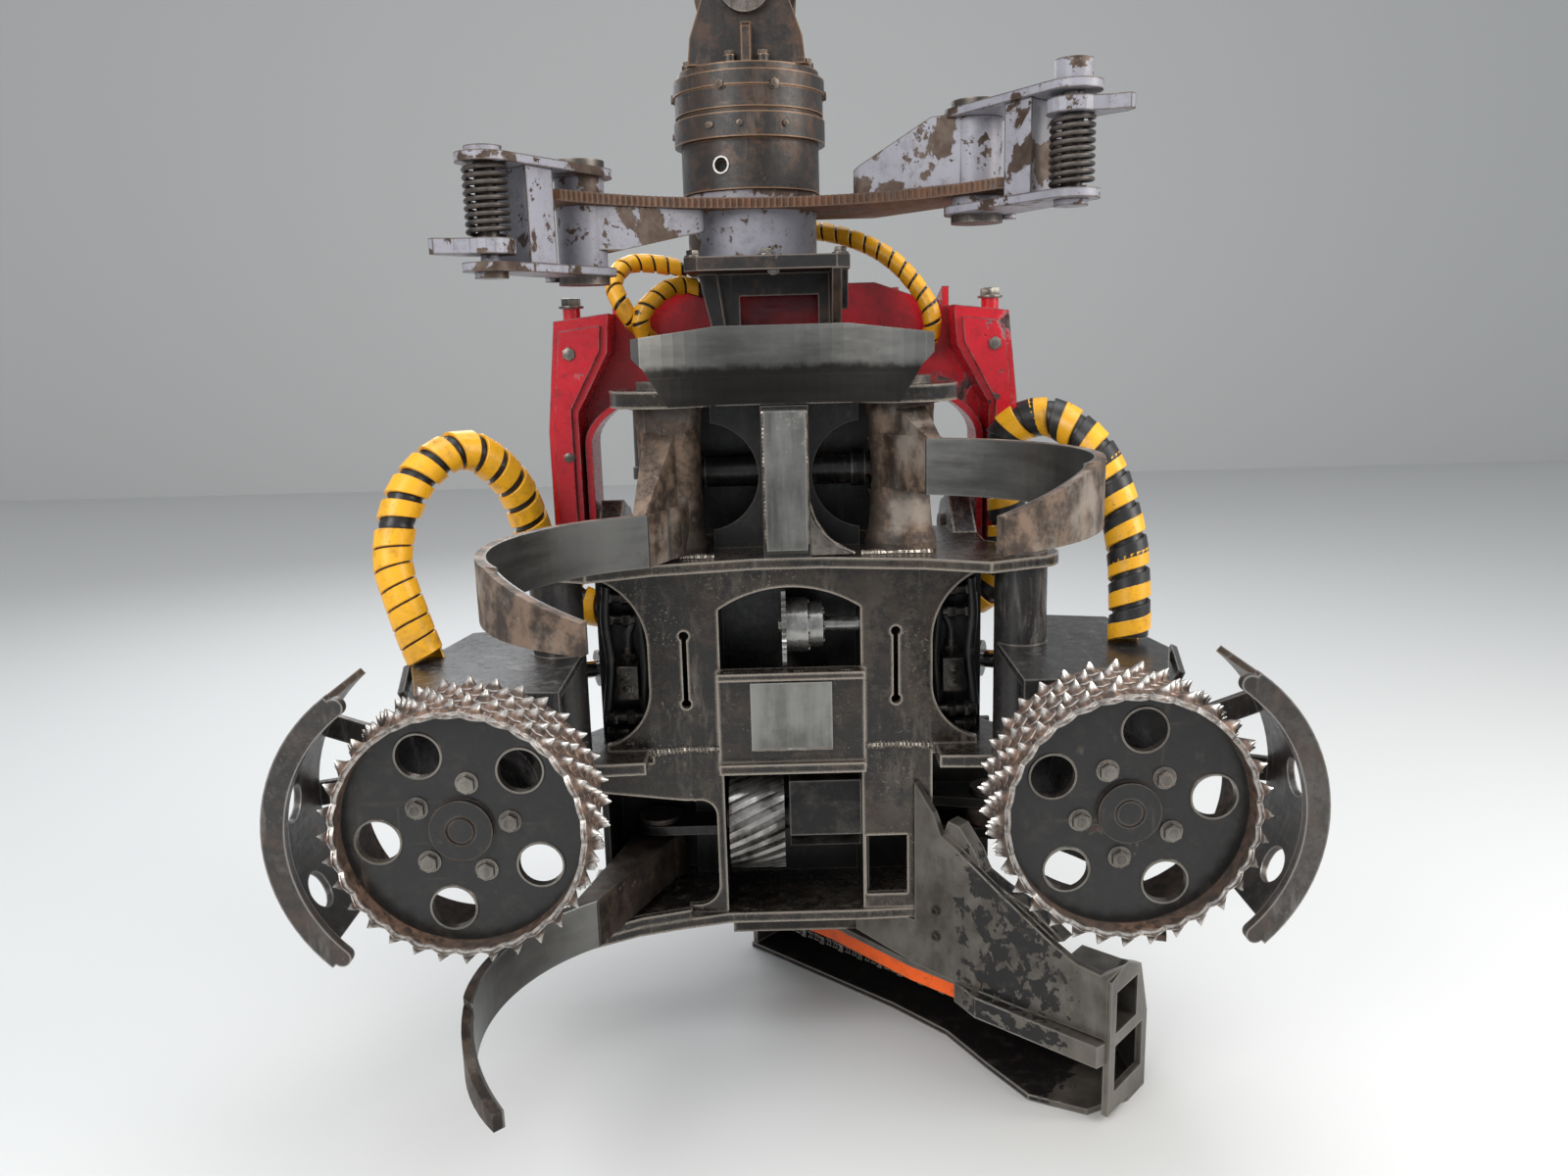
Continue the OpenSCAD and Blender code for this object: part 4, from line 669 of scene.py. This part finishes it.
def bar(bm, start, end, radius, sides=24, bevel=0.0):
    """Solid round or many-sided bar between two places."""
    start, end = Vector(start), Vector(end)
    made = bmesh.ops.create_cone(
        bm, cap_ends=True, segments=sides, radius1=radius, radius2=radius, depth=(end - start).length,
        matrix=Matrix.Translation((start + end) / 2) @ turned(end - start),
    )["verts"]
    if bevel:
        caps = {f for v in made for f in v.link_faces if len(f.verts) == sides}
        round_edges(bm, {e for f in caps for e in f.edges}, bevel)


def block(bm, low, high, bevel):
    """Box between two corners, with rounded edges."""
    low, high = Vector(low), Vector(high)
    matrix = Matrix.Translation((low + high) / 2) @ Matrix.Diagonal((*(high - low), 1.0))
    made = bmesh.ops.create_cube(bm, size=1.0, matrix=matrix)["verts"]
    round_edges(bm, {e for v in made for e in v.link_edges}, bevel)


def bolt(bm, place, out, size, height, washer=0.003):
    """Hexagon bolt head on its washer. Size is the radius to a corner."""
    place, out = Vector(place), Vector(out).normalized()
    if washer:
        bar(bm, place - 0.001 * out, place + washer * out, 1.22 * size, 24, 0.0006)
    bar(bm, place + 0.5 * washer * out, place + (washer + height) * out, size, 6, 0.13 * size)
    bar(bm, place, place + (washer + height + 0.0004) * out, 0.62 * size, 20, 0.0003)


def ring(bm, place, out, inner, outer, height):
    """Flat ring with rounded rims, standing on a face."""
    local = bmesh.new()
    soft = 0.18 * height
    inside = [(inner, -0.001), (inner, height - soft), (inner + soft, height)]
    outside = [(outer - soft, height), (outer, height - soft), (outer, -0.001)]
    lathe(local, inside + outside, 32)
    bmesh.ops.transform(local, matrix=Matrix.Translation(place) @ turned(out), verts=local.verts)
    join(bm, local)


def new_object(name, data):
    made = bpy.data.objects.new(name, data)
    scene.collection.objects.link(made)
    return made


def keep(name, bm, body, finish, replaces=(), sharp=38.0):
    """Makes the piece, with its faces turned out and its hard edges marked."""
    bmesh.ops.remove_doubles(bm, verts=bm.verts, dist=1e-6)
    bmesh.ops.recalc_face_normals(bm, faces=bm.faces)
    for face in bm.faces:
        face.smooth = True
    for edge in bm.edges:
        edge.smooth = len(edge.link_faces) == 2 and edge.calc_face_angle(0.0) < radians(sharp)
    mesh = bpy.data.meshes.new(name)
    bm.to_mesh(mesh)
    bm.free()
    piece = new_object(name, mesh)
    mesh.materials.append(finish)
    if replaces:
        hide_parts(*replaces)
    if body:
        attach(piece, body)
    return piece


class Route:
    """A smooth curve through places, to bend straight pieces along."""

    def __init__(self, places, per=12):
        p = [2 * places[0] - places[1], *places, 2 * places[-1] - places[-2]]
        self.points = []
        for a, b, c, d in zip(p, p[1:], p[2:], p[3:]):
            for k in range(per):
                u = k / per
                square = (2 * a - 5 * b + 4 * c - d) * u * u
                self.points.append(0.5 * (2 * b + (c - a) * u + square + (3 * b - a - 3 * c + d) * u ** 3))
        self.points.append(p[-2].copy())
        self.along = [0.0]
        for a, b in zip(self.points, self.points[1:]):
            self.along.append(self.along[-1] + (b - a).length)
        self.length = self.along[-1]
        side = (self.points[1] - self.points[0]).normalized().orthogonal().normalized()
        self.frames = []
        for i in range(len(self.points)):
            ahead = self.points[min(i + 1, len(self.points) - 1)] - self.points[max(i - 1, 0)]
            ahead.normalize()
            side = (side - side.dot(ahead) * ahead).normalized()
            self.frames.append((side.copy(), ahead.cross(side), ahead))

    def carry(self, v):
        """Moves a point of the straight piece, drawn along +Z, onto the curve."""
        s = min(max(v.z, 0.0), self.length)
        i = min(bisect(self.along, s), len(self.along) - 1) - 1
        span = self.along[i + 1] - self.along[i]
        u = (s - self.along[i]) / span if span else 0.0
        centre = self.points[i].lerp(self.points[i + 1], u)
        side, up, ahead = [a.lerp(b, u) for a, b in zip(self.frames[i], self.frames[i + 1])]
        return centre + v.x * side + v.y * up + (v.z - s) * ahead

    def bend(self, bm):
        for v in bm.verts:
            v.co = self.carry(v.co)


def hose_core(bm, length, radius, pitch=0.0, ridge=0.0, sides=20, step_length=0.006):
    """Straight hose along +Z, with rings when it has a ridge."""
    circle = bmesh.ops.create_circle(bm, cap_ends=True, segments=sides, radius=radius)["verts"]
    edges = list({e for v in circle for e in v.link_edges if e.is_boundary})
    count = max(2, int(length / step_length))
    for i in range(count):
        made = bmesh.ops.extrude_edge_only(bm, edges=edges)["geom"]
        verts = [g for g in made if isinstance(g, bmesh.types.BMVert)]
        edges = [g for g in made if isinstance(g, bmesh.types.BMEdge) and all(v in verts for v in g.verts)]
        z = length * (i + 1) / count
        r = radius - (ridge if pitch and (z / pitch) % 1.0 > 0.6 else 0.0)
        for v in verts:
            flat = Vector((v.co.x, v.co.y, 0.0)).normalized() * r
            v.co = Vector((flat.x, flat.y, z))
    bmesh.ops.contextual_create(bm, geom=edges)


def swell(v, factor):
    """Moves a point out from +Z."""
    v.co.x *= factor
    v.co.y *= factor


def spiral(bm, profile, start, turn_start, pitch, turns, steps=20):
    """Sweeps a closed outline of (radius, height) places up a screw line round +Z."""
    turn = Matrix.Rotation(turn_start, 4, "Z")
    verts = [bm.verts.new(turn @ Vector((r, 0.0, start + z))) for r, z in profile]
    face = bm.faces.new(verts)
    count = int(round(turns * steps))
    bmesh.ops.spin(
        bm, geom=[face, *face.edges, *face.verts], cent=(0, 0, 0), axis=(0, 0, 1),
        dvec=(0, 0, pitch / steps), angle=2 * pi * count / steps, steps=count, use_duplicate=False,
    )


# Share of a wrapped hose's radius that its core takes
CORE = 0.8


def wrapped_hose(name, places, radius, bands, replaces, body=None, bodies=(), hems=()):
    """Hose in guard bands, each with its finish, width, pitch, start, end and share of the radius."""
    route = Route(places)
    bm = bmesh.new()
    hose_core(bm, route.length, CORE * radius, 0.018, 0.05 * radius)
    for place in hems:
        bar(bm, (0, 0, place), (0, 0, place + 0.014), 0.9 * radius, 20, 0.001)
    route.bend(bm)
    pieces = [keep(name + "_core", bm, body, rubber, replaces)]
    for number, (finish, width, pitch, first, last, share) in enumerate(bands):
        bm = bmesh.new()
        low, high, lip = CORE * radius + 0.0005, share * radius, 0.0012
        foot = [(low, 0.0), (high - lip, 0.0), (high, lip)]
        top = [(high, width - lip), (high - lip, width), (low, width)]
        spiral(bm, foot + top, first, 0.9 * number, pitch, (last - first - width) / pitch)
        for v in bm.verts:
            swell(v, 1.0 + 0.012 * sin(37.0 * v.co.z + 3.0 * number) + 0.010 * sin(91.0 * v.co.z))
        route.bend(bm)
        pieces.append(keep(f"{name}_band_{number}", bm, body, finish))
    if bodies:
        for piece in pieces:
            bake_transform(piece)


# Feed hoses, from the feed arms over to the frame's sides
hose_left = path((
    (-655, -290, 812), (-680, -280, 885), (-705, -260, 990), (-670, -220, 1110), (-590, -165, 1165),
    (-520, -110, 1100), (-490, -70, 990), (-465, -45, 890), (-400, -45, 838), (-330, -56, 832),
    (-263, -56, 832),
))
hose_right = path((
    (607, -290, 812), (609, -280, 885), (604, -250, 1000), (566, -200, 1130), (490, -140, 1195),
    (418, -90, 1158), (425, -70, 1060), (430, -62, 960), (416, -55, 880), (370, -50, 838), (320, -56, 832),
    (263, -56, 832),
))
wrapped_hose(
    "left_feed_hose", hose_left, 0.0375,
    [(yellow_band, 0.031, 0.0345, -0.028, 0.245, 0.93), (yellow_band, 0.030, 0.0425, 0.232, 1.02, 0.985)],
    bodies=("feed_arm_L", "frame", at(-640, -285, 830), at(-330, -60, 832)),
    replaces=("feed_hose_L",), hems=(0.002,),
)
wrapped_hose(
    "right_feed_hose", hose_right, 0.0375,
    [
        (yellow_band, 0.028, 0.056, -0.028, 0.56, 0.985),
        (rubber, 0.026, 0.056, 0.0, 1.05, 0.97),
        (yellow_band, 0.024, 0.056, 0.66, 1.0, 0.985),
    ],
    bodies=("feed_arm_R", "frame", at(600, -285, 830), at(330, -60, 832)),
    replaces=("feed_hose_R",), hems=(0.002, 0.02),
)

# Leads on the mounting bracket
leads = [
    (
        (-150, 66, 1444.8), (-196, 58, 1456.8), (-232, 38, 1442), (-270, 18, 1404), (-272, 34, 1368),
        (-260, 66, 1352), (-258, 109, 1350),
    ),
    (
        (-186, 120, 1486), (-240, 112, 1500), (-300, 84, 1500), (-326, 48, 1466), (-312, 26, 1426),
        (-296, 34, 1396), (-288, 64, 1382), (-286, 109, 1380),
    ),
    (
        (10, 133, 1556), (80, 132, 1558), (170, 106, 1530), (235, 84, 1486), (286, 64, 1420),
        (300, 56, 1372), (294, 70, 1338), (290, 104.9, 1326),
    ),
]
for number, places in enumerate(leads):
    length = Route(path(places)).length
    wrapped_hose(
        f"bracket_lead_{number}", path(places), 0.0185,
        [(yellow_band, 0.026, 0.031, 0.008, length - 0.006, 0.98)],
        body="bracket", replaces=("bracket_hoses",),
    )


# Springs of the collector's claws, wound from round wire
def coil_spring(name, side, low, high, body, node):
    bm = bmesh.new()
    wire, coil, guide, turns = 0.0040, 0.0312, 0.0165, 9
    outline = [(coil + wire * cos(a * pi / 4), wire * sin(a * pi / 4)) for a in range(8)]
    pitch = ((high - low) / 1000 - 2 * wire) / turns
    spiral(bm, outline, wire, 0.4, pitch, turns, 28)
    foot, head = path(((SPRING_X, SPRING_Y, low), (SPRING_X, SPRING_Y, high)), side)
    bmesh.ops.translate(bm, verts=bm.verts, vec=foot)
    bar(bm, foot, head, guide)
    keep(name, bm, body, spring_steel, (node,))


coil_spring("left_claw_spring", -1, 1512.4, 1623.6, "collector_arm_L", "collector_spring_L")
coil_spring("right_claw_spring", 1, 1562.4, 1671.6, "collector_arm_R", "collector_spring_R")


def roller_place(side):
    """Sets a feed roller, drawn round +Z, in its place."""
    return Matrix.Translation(at(side * ROLLER_X, ROLLER_Y, ROLLER_Z)) @ Matrix.Rotation(radians(-90), 4, "X")


# Spiked drums: a scalloped ring and curved horns in staggered rows
ROWS, HORNS = 5, 32
DRUM_INNER, DRUM_OUTER, DRUM_WIDTH, DRUM_RIM, SCALLOP = 0.184, 0.1925, 0.150, 0.015, 0.009
HORN_FOOT, HORN_WAIST, HORN_HEIGHT, HORN_RADIUS, TIP_RADIUS = 0.189, 0.008, 0.0225, 0.0185, 0.0012


def spiked_drum(side, body, node):
    bm = bmesh.new()
    tips = bm.verts.layers.float.new("tip")
    outside = [(DRUM_INNER, 0.0), (DRUM_OUTER, 0.0), (DRUM_OUTER, DRUM_RIM), (DRUM_OUTER, DRUM_WIDTH)]
    lathe(bm, outside + [(DRUM_INNER, DRUM_WIDTH), (DRUM_INNER, DRUM_RIM)], 4 * HORNS, closed=True)
    for v in bm.verts:
        if v.co.z < 0.001:
            a = Vector((v.co.x, v.co.y)).angle_signed(Vector((1, 0)))
            v.co.z += SCALLOP * (0.5 - 0.5 * cos(HORNS * a)) ** 1.5
            v[tips] = 0.55
    for row in range(ROWS):
        for i in range(HORNS):
            a = 360 * (i + 0.5 * (row % 2)) / HORNS
            out, across = around(a), around(a + 90)
            foot = around(a, HORN_FOOT, DRUM_WIDTH * (row + 0.5) / ROWS)
            waist = foot + HORN_WAIST * out
            lean = 0.0045 + 0.0030 * sin(12.9 * i + 4.1 * row)
            horn = bmesh.ops.create_cone(
                bm, cap_ends=False, segments=6, radius1=HORN_RADIUS, radius2=TIP_RADIUS, depth=HORN_HEIGHT,
                matrix=Matrix.Translation(foot + HORN_HEIGHT / 2 * out) @ turned(out),
            )["verts"]
            whole = {g for v in horn for g in (v, *v.link_edges, *v.link_faces)}
            cut = bmesh.ops.bisect_plane(bm, geom=list(whole), plane_co=waist, plane_no=out, dist=1e-5)
            for v in {g for g in cut["geom_cut"] if isinstance(g, bmesh.types.BMVert)}:
                v.co -= 0.14 * (v.co - waist)
                v[tips] = 0.25
            for v in horn:
                if (v.co - foot).dot(out) > 0.02:
                    v[tips] = 1.0
                    v.co += lean * across + Vector((0.0, 0.0, -0.002))
    bmesh.ops.transform(bm, matrix=roller_place(side), verts=bm.verts)
    keep(f"{body}_horns", bm, body, spikes, (node,), 50.0)


spiked_drum(-1, "feed_roller_L", "spiked_drum_L")
spiked_drum(1, "feed_roller_R", "spiked_drum_R")


# Bolts on the roller discs, and lips round their holes
BOLT_CIRCLE, HOLE_CIRCLE = 0.074, 0.130


def disc_fittings(side, first, body):
    bm = bmesh.new()
    for k in range(5):
        bolt(bm, around(72 * k + first + 36, BOLT_CIRCLE, 0.0345), (0, 0, -1), 0.0145, 0.0105)
        lip = bmesh.new()
        lathe(lip, [(0.0335, 0.012), (0.0335, -0.0025), (0.0365, -0.0025), (0.0385, 0.001)], 40)
        bmesh.ops.translate(lip, verts=lip.verts, vec=around(72 * k + first, HOLE_CIRCLE, 0.034))
        join(bm, lip)
    place = roller_place(side) @ Matrix.Diagonal((side, 1.0, 1.0, 1.0))
    bmesh.ops.transform(bm, matrix=place, verts=bm.verts)
    keep(f"{body}_fittings", bm, body, bolt_steel)


disc_fittings(-1, 8, "feed_roller_L")
disc_fittings(1, 63, "feed_roller_R")

# Rotator: bolts on its top flange, and two rows round its housing
bm = bmesh.new()
for k in range(12):
    bolt(bm, at(PIN_X, 0, 1838.5) + around(30 * k + 15, 0.1125), (0, 0, 1), 0.0098, 0.008, 0.0)
for a in (-118, -96, -62, 62, 118, 180, 240):
    bolt(bm, at(PIN_X, 0, 1722) + around(a, 0.1403), around(a), 0.0062, 0.004, 0.0)
for a in (-110, -70, 180, 0):
    bolt(bm, at(PIN_X, 0, 1788) + around(a, 0.1373), around(a), 0.0085, 0.005, 0.002)
keep("rotator_bolts", bm, "rotator", rusty_bolts)

# Ports of the rotor, one open and two with plugs
ROTOR_RADIUS = 0.1275
bm = bmesh.new()
middle = at(PIN_X, 0, 1655)
out = Vector((-0.39, -0.92, 0.0)).normalized()
ring(bm, middle + ROTOR_RADIUS * out, out, 0.0122, 0.0160, 0.0035)
for a in (20, 160):
    place = middle + around(a, ROTOR_RADIUS)
    ring(bm, place, around(a), 0.0105, 0.0175, 0.004)
    bolt(bm, place, around(a), 0.0105, 0.003, 0.0)
keep("rotor_ports", bm, "bracket", bright_port)


# Weld beads: a ragged bright line laid along the seams
def bead(bm, places, radius):
    route = Route(places, 4)
    local = bmesh.new()
    hose_core(local, route.length, radius, sides=8, step_length=0.0026)
    for v in local.verts:
        z = v.co.z
        fine = 0.16 * sin(880.0 * z + 2.0 * v.co.x / radius)
        swell(v, 1.0 + fine + 0.20 * sin(143.0 * z) + 0.12 * sin(61.0 * z))
    route.bend(local)
    join(bm, local)


bm = bmesh.new()
for s in (-1, 1):
    bead(bm, path(((262, FRONT_Y, 966), (200, FRONT_Y, 966.5), (133, FRONT_Y, 966)), s), 0.0062)
    bead(bm, path(((262, FRONT_Y, 598), (200, FRONT_Y, 602), (134, FRONT_Y, 601)), s), 0.0068)
    bead(bm, path(((37, -263, 990), (37, -264, 1100), (37, -263, 1226)), s), 0.0036)
    bead(bm, path(((131, FRONT_Y, 612), (131, FRONT_Y, 680), (131, FRONT_Y, 742)), s), 0.0046)
    bead(bm, path(((315, -60, 1234), (300, -150, 1234), (262, -205, 1234)), s), 0.0036)
bead(bm, path(((-128, -252, 745), (0, -253, 745), (128, -252, 745))), 0.0062)
bead(bm, path(((-128, -242, 601), (0, -243, 602), (128, -242, 601))), 0.0075)
bead(bm, path(((-75, -261, 605), (0, -262, 604.5), (75, -261, 605))), 0.0026)
bead(bm, path(((-75, -253, 733), (0, -253, 734), (75, -253, 733))), 0.0028)
keep("frame_welds", bm, "frame", weld_steel)

# Curved gusset at the foot of the upper wear plate
bm = bmesh.new()
curve = [(38, 1062), (44, 1042), (52, 1024), (64, 1006), (80, 990), (100, 977), (118, 968)]
face = bm.faces.new([bm.verts.new(at(x, -256, z)) for x, z in [*curve, (38, 966)]])
grown = bmesh.ops.extrude_face_region(bm, geom=[face])["geom"]
verts = [g for g in grown if isinstance(g, bmesh.types.BMVert)]
bmesh.ops.translate(bm, verts=verts, vec=(0, 0.012, 0))
round_edges(bm, bm.edges, 0.0018)
bead(bm, [at(x + 2, -257, z + 2) for x, z in curve], 0.0030)
keep("plate_gusset", bm, "frame", weld_steel)

# Hydraulic fittings behind the side cut-outs, given for the right side
FITTING_X, FITTING_Y = 306, -176
FITTING_HOSES = (
    ((306, -176, 784), (304, -180, 812), (290, -176, 838), (277, -168, 846)),
    ((338, -196, 908), (344, -190, 840), (338, -188, 760), (346, -180, 690), (352, -176, 652)),
    ((276, -190, 900), (278, -196, 840), (274, -190, 760), (278, -186, 690), (276, -178, 620)),
)


def side_fittings(side, name):
    """A block, pipes with nuts and short hoses."""

    def pipe(start, end, radius, sides=6):
        bar(bm, *path((start, end), side), radius, sides, 0.001)

    bm = bmesh.new()
    left, right = sorted((side * 286, side * 326))
    block(bm, at(left, -206, 690), at(right, -154, 756), 0.003)
    bolt(bm, at(side * FITTING_X, -206, 712), (0, -1, 0), 0.0085, 0.006, 0.002)
    bolt(bm, at(side * FITTING_X, -206, 738), (0, -1, 0), 0.0062, 0.005, 0.001)
    for y, z in ((-178, 618), (-186, 650), (-178, 842), (-186, 886)):
        pipe((280, y, z), (352, y, z), 0.0120, 16)
        pipe((296, y, z), (312, y, z), 0.0165)
        pipe((330, y, z), (340, y, z), 0.0155)
    pipe((FITTING_X, FITTING_Y, 756), (FITTING_X, FITTING_Y, 786), 0.0105, 16)
    pipe((FITTING_X, FITTING_Y, 762), (FITTING_X, FITTING_Y, 774), 0.0155)
    keep(name, bm, "frame", inner_fittings)
    bm = bmesh.new()
    for places in FITTING_HOSES:
        route = Route(path(places, side))
        local = bmesh.new()
        hose_core(local, route.length, 0.0092, 0.012, 0.0008, 14)
        route.bend(local)
        join(bm, local)
    keep(name + "_hoses", bm, "frame", rubber)


side_fittings(-1, "left_side_fittings")
side_fittings(1, "right_side_fittings")

# Bolts on the yoke and its shoulders
bm = bmesh.new()
for s in (-1, 1):
    bolt(bm, at(s * 414, 62, 1418), (0, 0, 1), 0.020, 0.015, 0.004)
    bolt(bm, at(s * 412, -1, 1330), (0, -1, 0), 0.0135, 0.010)
    bolt(bm, at(s * 425, -1, 1130), (0, -1, 0), 0.0105, 0.008)
keep("yoke_bolts", bm, "bracket", bolt_steel)

# Bolts on the bracket's plate and front
bm = bmesh.new()
for x, y in ((-158, -120), (110, -120), (-158, 128), (110, 128), (-25, -124)):
    bolt(bm, at(x, y, 1497), (0, 0, 1), 0.0125, 0.009)
bolt(bm, at(-12, -100, 1475), (0, -1, 0), 0.010, 0.008)
keep("bracket_bolts", bm, "bracket", bolt_steel)

# Small screws on the encoder's hub, and the ring in its middle
bm = bmesh.new()
for x, count, first, circle, size in ((34, 8, 10, 0.0475, 0.0042), (62, 6, 0, 0.031, 0.0046)):
    for k in range(count):
        place = at(x, WHEEL_Y, WHEEL_Z) + around(360 / count * k + first, circle).zxy
        bolt(bm, place, (1, 0, 0), size, 0.004, 0.0)
ring(bm, at(62, WHEEL_Y, WHEEL_Z), (1, 0, 0), 0.016, 0.024, 0.003)
keep("encoder_screws", bm, "frame", bolt_steel)

# Screws on the saw box, placed from the saw's axis along the bar
SAW_TURN = Matrix.Translation(at(0, 85, 90)) @ Matrix.Rotation(radians(-42), 4, "Z")
out = SAW_TURN.to_3x3() @ Vector((0, -1, 0))
bm = bmesh.new()
for high in (0.196, 0.143):
    bolt(bm, SAW_TURN @ Vector((0.444, -0.100, high)), out, 0.0085, 0.004, 0.002)
keep("saw_box_screws", bm, "frame", inner_fittings)

# Saw chain: drive links and cutters along the bar's rim, one side and its end after the other
LINKS, BAR_LENGTH, HALF_BAR = 92, 0.700, 0.039
straight = BAR_LENGTH - HALF_BAR
lap = straight + pi * HALF_BAR
bm = bmesh.new()
for i in range(LINKS):
    back, s = divmod(2 * lap * i / LINKS, lap)
    a = max(0.0, s - straight) / HALF_BAR
    u, v, heading = min(s, straight) + HALF_BAR * sin(a), HALF_BAR * cos(a), -a
    if back:
        u, v, heading = straight - u, -v, -pi - a
    local = bmesh.new()
    if i % 3 == 0:
        block(local, (-0.006, 0.002, 0.0045), (0.006, 0.0118, 0.0085), 0.0008)
        block(local, (-0.006, 0.002, -0.0085), (0.006, 0.0118, -0.0045), 0.0008)
        block(local, (-0.007, 0.0085, -0.0085), (0.002, 0.0122, 0.0085), 0.0008)
    else:
        block(local, (-0.0068, 0.001, 0.0045), (0.0068, 0.0088, 0.0076), 0.0010)
        block(local, (-0.0068, 0.001, -0.0076), (0.0068, 0.0088, -0.0045), 0.0010)
    for x in (-0.0036, 0.0036):
        bar(local, (x, 0.005, -0.0086), (x, 0.005, 0.0086), 0.0017, 8)
    place = SAW_TURN @ Matrix.Translation((u, v, 0.0)) @ Matrix.Rotation(heading, 4, "Z")
    bmesh.ops.transform(local, matrix=place, verts=local.verts)
    join(bm, local)
keep("saw_links", bm, "saw", chain_steel, ("saw_chain",))

# Floor, light and camera
FLOOR_HALF = 9.0
floor_finish = Finish("pale floor")
floor_finish.set(Base_Color=(0.62, 0.62, 0.61), Roughness=0.8)
bm = bmesh.new()
bmesh.ops.create_grid(bm, x_segments=1, y_segments=1, size=FLOOR_HALF)
back_edge = [e for e in bm.edges if all(v.co.y > FLOOR_HALF - 0.1 for v in e.verts)]
wall = bmesh.ops.extrude_edge_only(bm, edges=back_edge)["geom"]
top = [g for g in wall if isinstance(g, bmesh.types.BMVert)]
bmesh.ops.translate(bm, verts=top, vec=(0, 0, FLOOR_HALF))
bmesh.ops.translate(bm, verts=bm.verts, vec=(0, 0, cad_box[0][2]))
mesh = bpy.data.meshes.new("floor")
bm.to_mesh(mesh)
bm.free()
floor = new_object("floor", mesh)
mesh.materials.append(floor_finish.material)

world = bpy.data.worlds.new("studio")
scene.world = world
world.use_nodes = True
sky = world.node_tree.nodes["Background"].inputs
sky["Color"].default_value = (0.80, 0.83, 0.87, 1.0)
sky["Strength"].default_value = 0.6


def lamp(name, place, target, power, width, height, colour):
    light = bpy.data.lights.new(name, "AREA")
    light.shape = "RECTANGLE"
    light.size, light.size_y = width, height
    light.energy = power
    light.color = colour
    made = new_object(name, light)
    made.location = place
    made.rotation_euler = (Vector(target) - Vector(place)).to_track_quat("-Z", "Y").to_euler()


lamp("sky panel", (0.4, -0.6, 3.2), (0, 0, -1.2), 190, 5.0, 4.0, (0.92, 0.96, 1.0))
lamp("front panel", (-2.6, -3.6, 1.0), (0, -0.2, -1.2), 120, 2.6, 2.2, (1.0, 0.98, 0.95))
lamp("right panel", (3.6, -1.6, 0.6), (0, -0.2, -1.2), 120, 2.2, 2.6, (1.0, 0.96, 0.9))
lamp("back panel", (-1.5, 3.6, 1.4), (0, 0, -1.0), 90, 3.0, 2.0, (0.93, 0.96, 1.0))

camera_data = bpy.data.cameras.new("camera")
camera_data.sensor_width = 36.0
camera_data.lens = 27.0
camera = new_object("camera", camera_data)
tilt = Matrix.Rotation(radians(78.0), 4, "X") @ Matrix.Rotation(radians(-1.5), 4, "Z")
camera.matrix_world = Matrix.Translation((0.042, -2.33, -0.83)) @ tilt
scene.camera = camera
scene.view_settings.view_transform = "Standard"
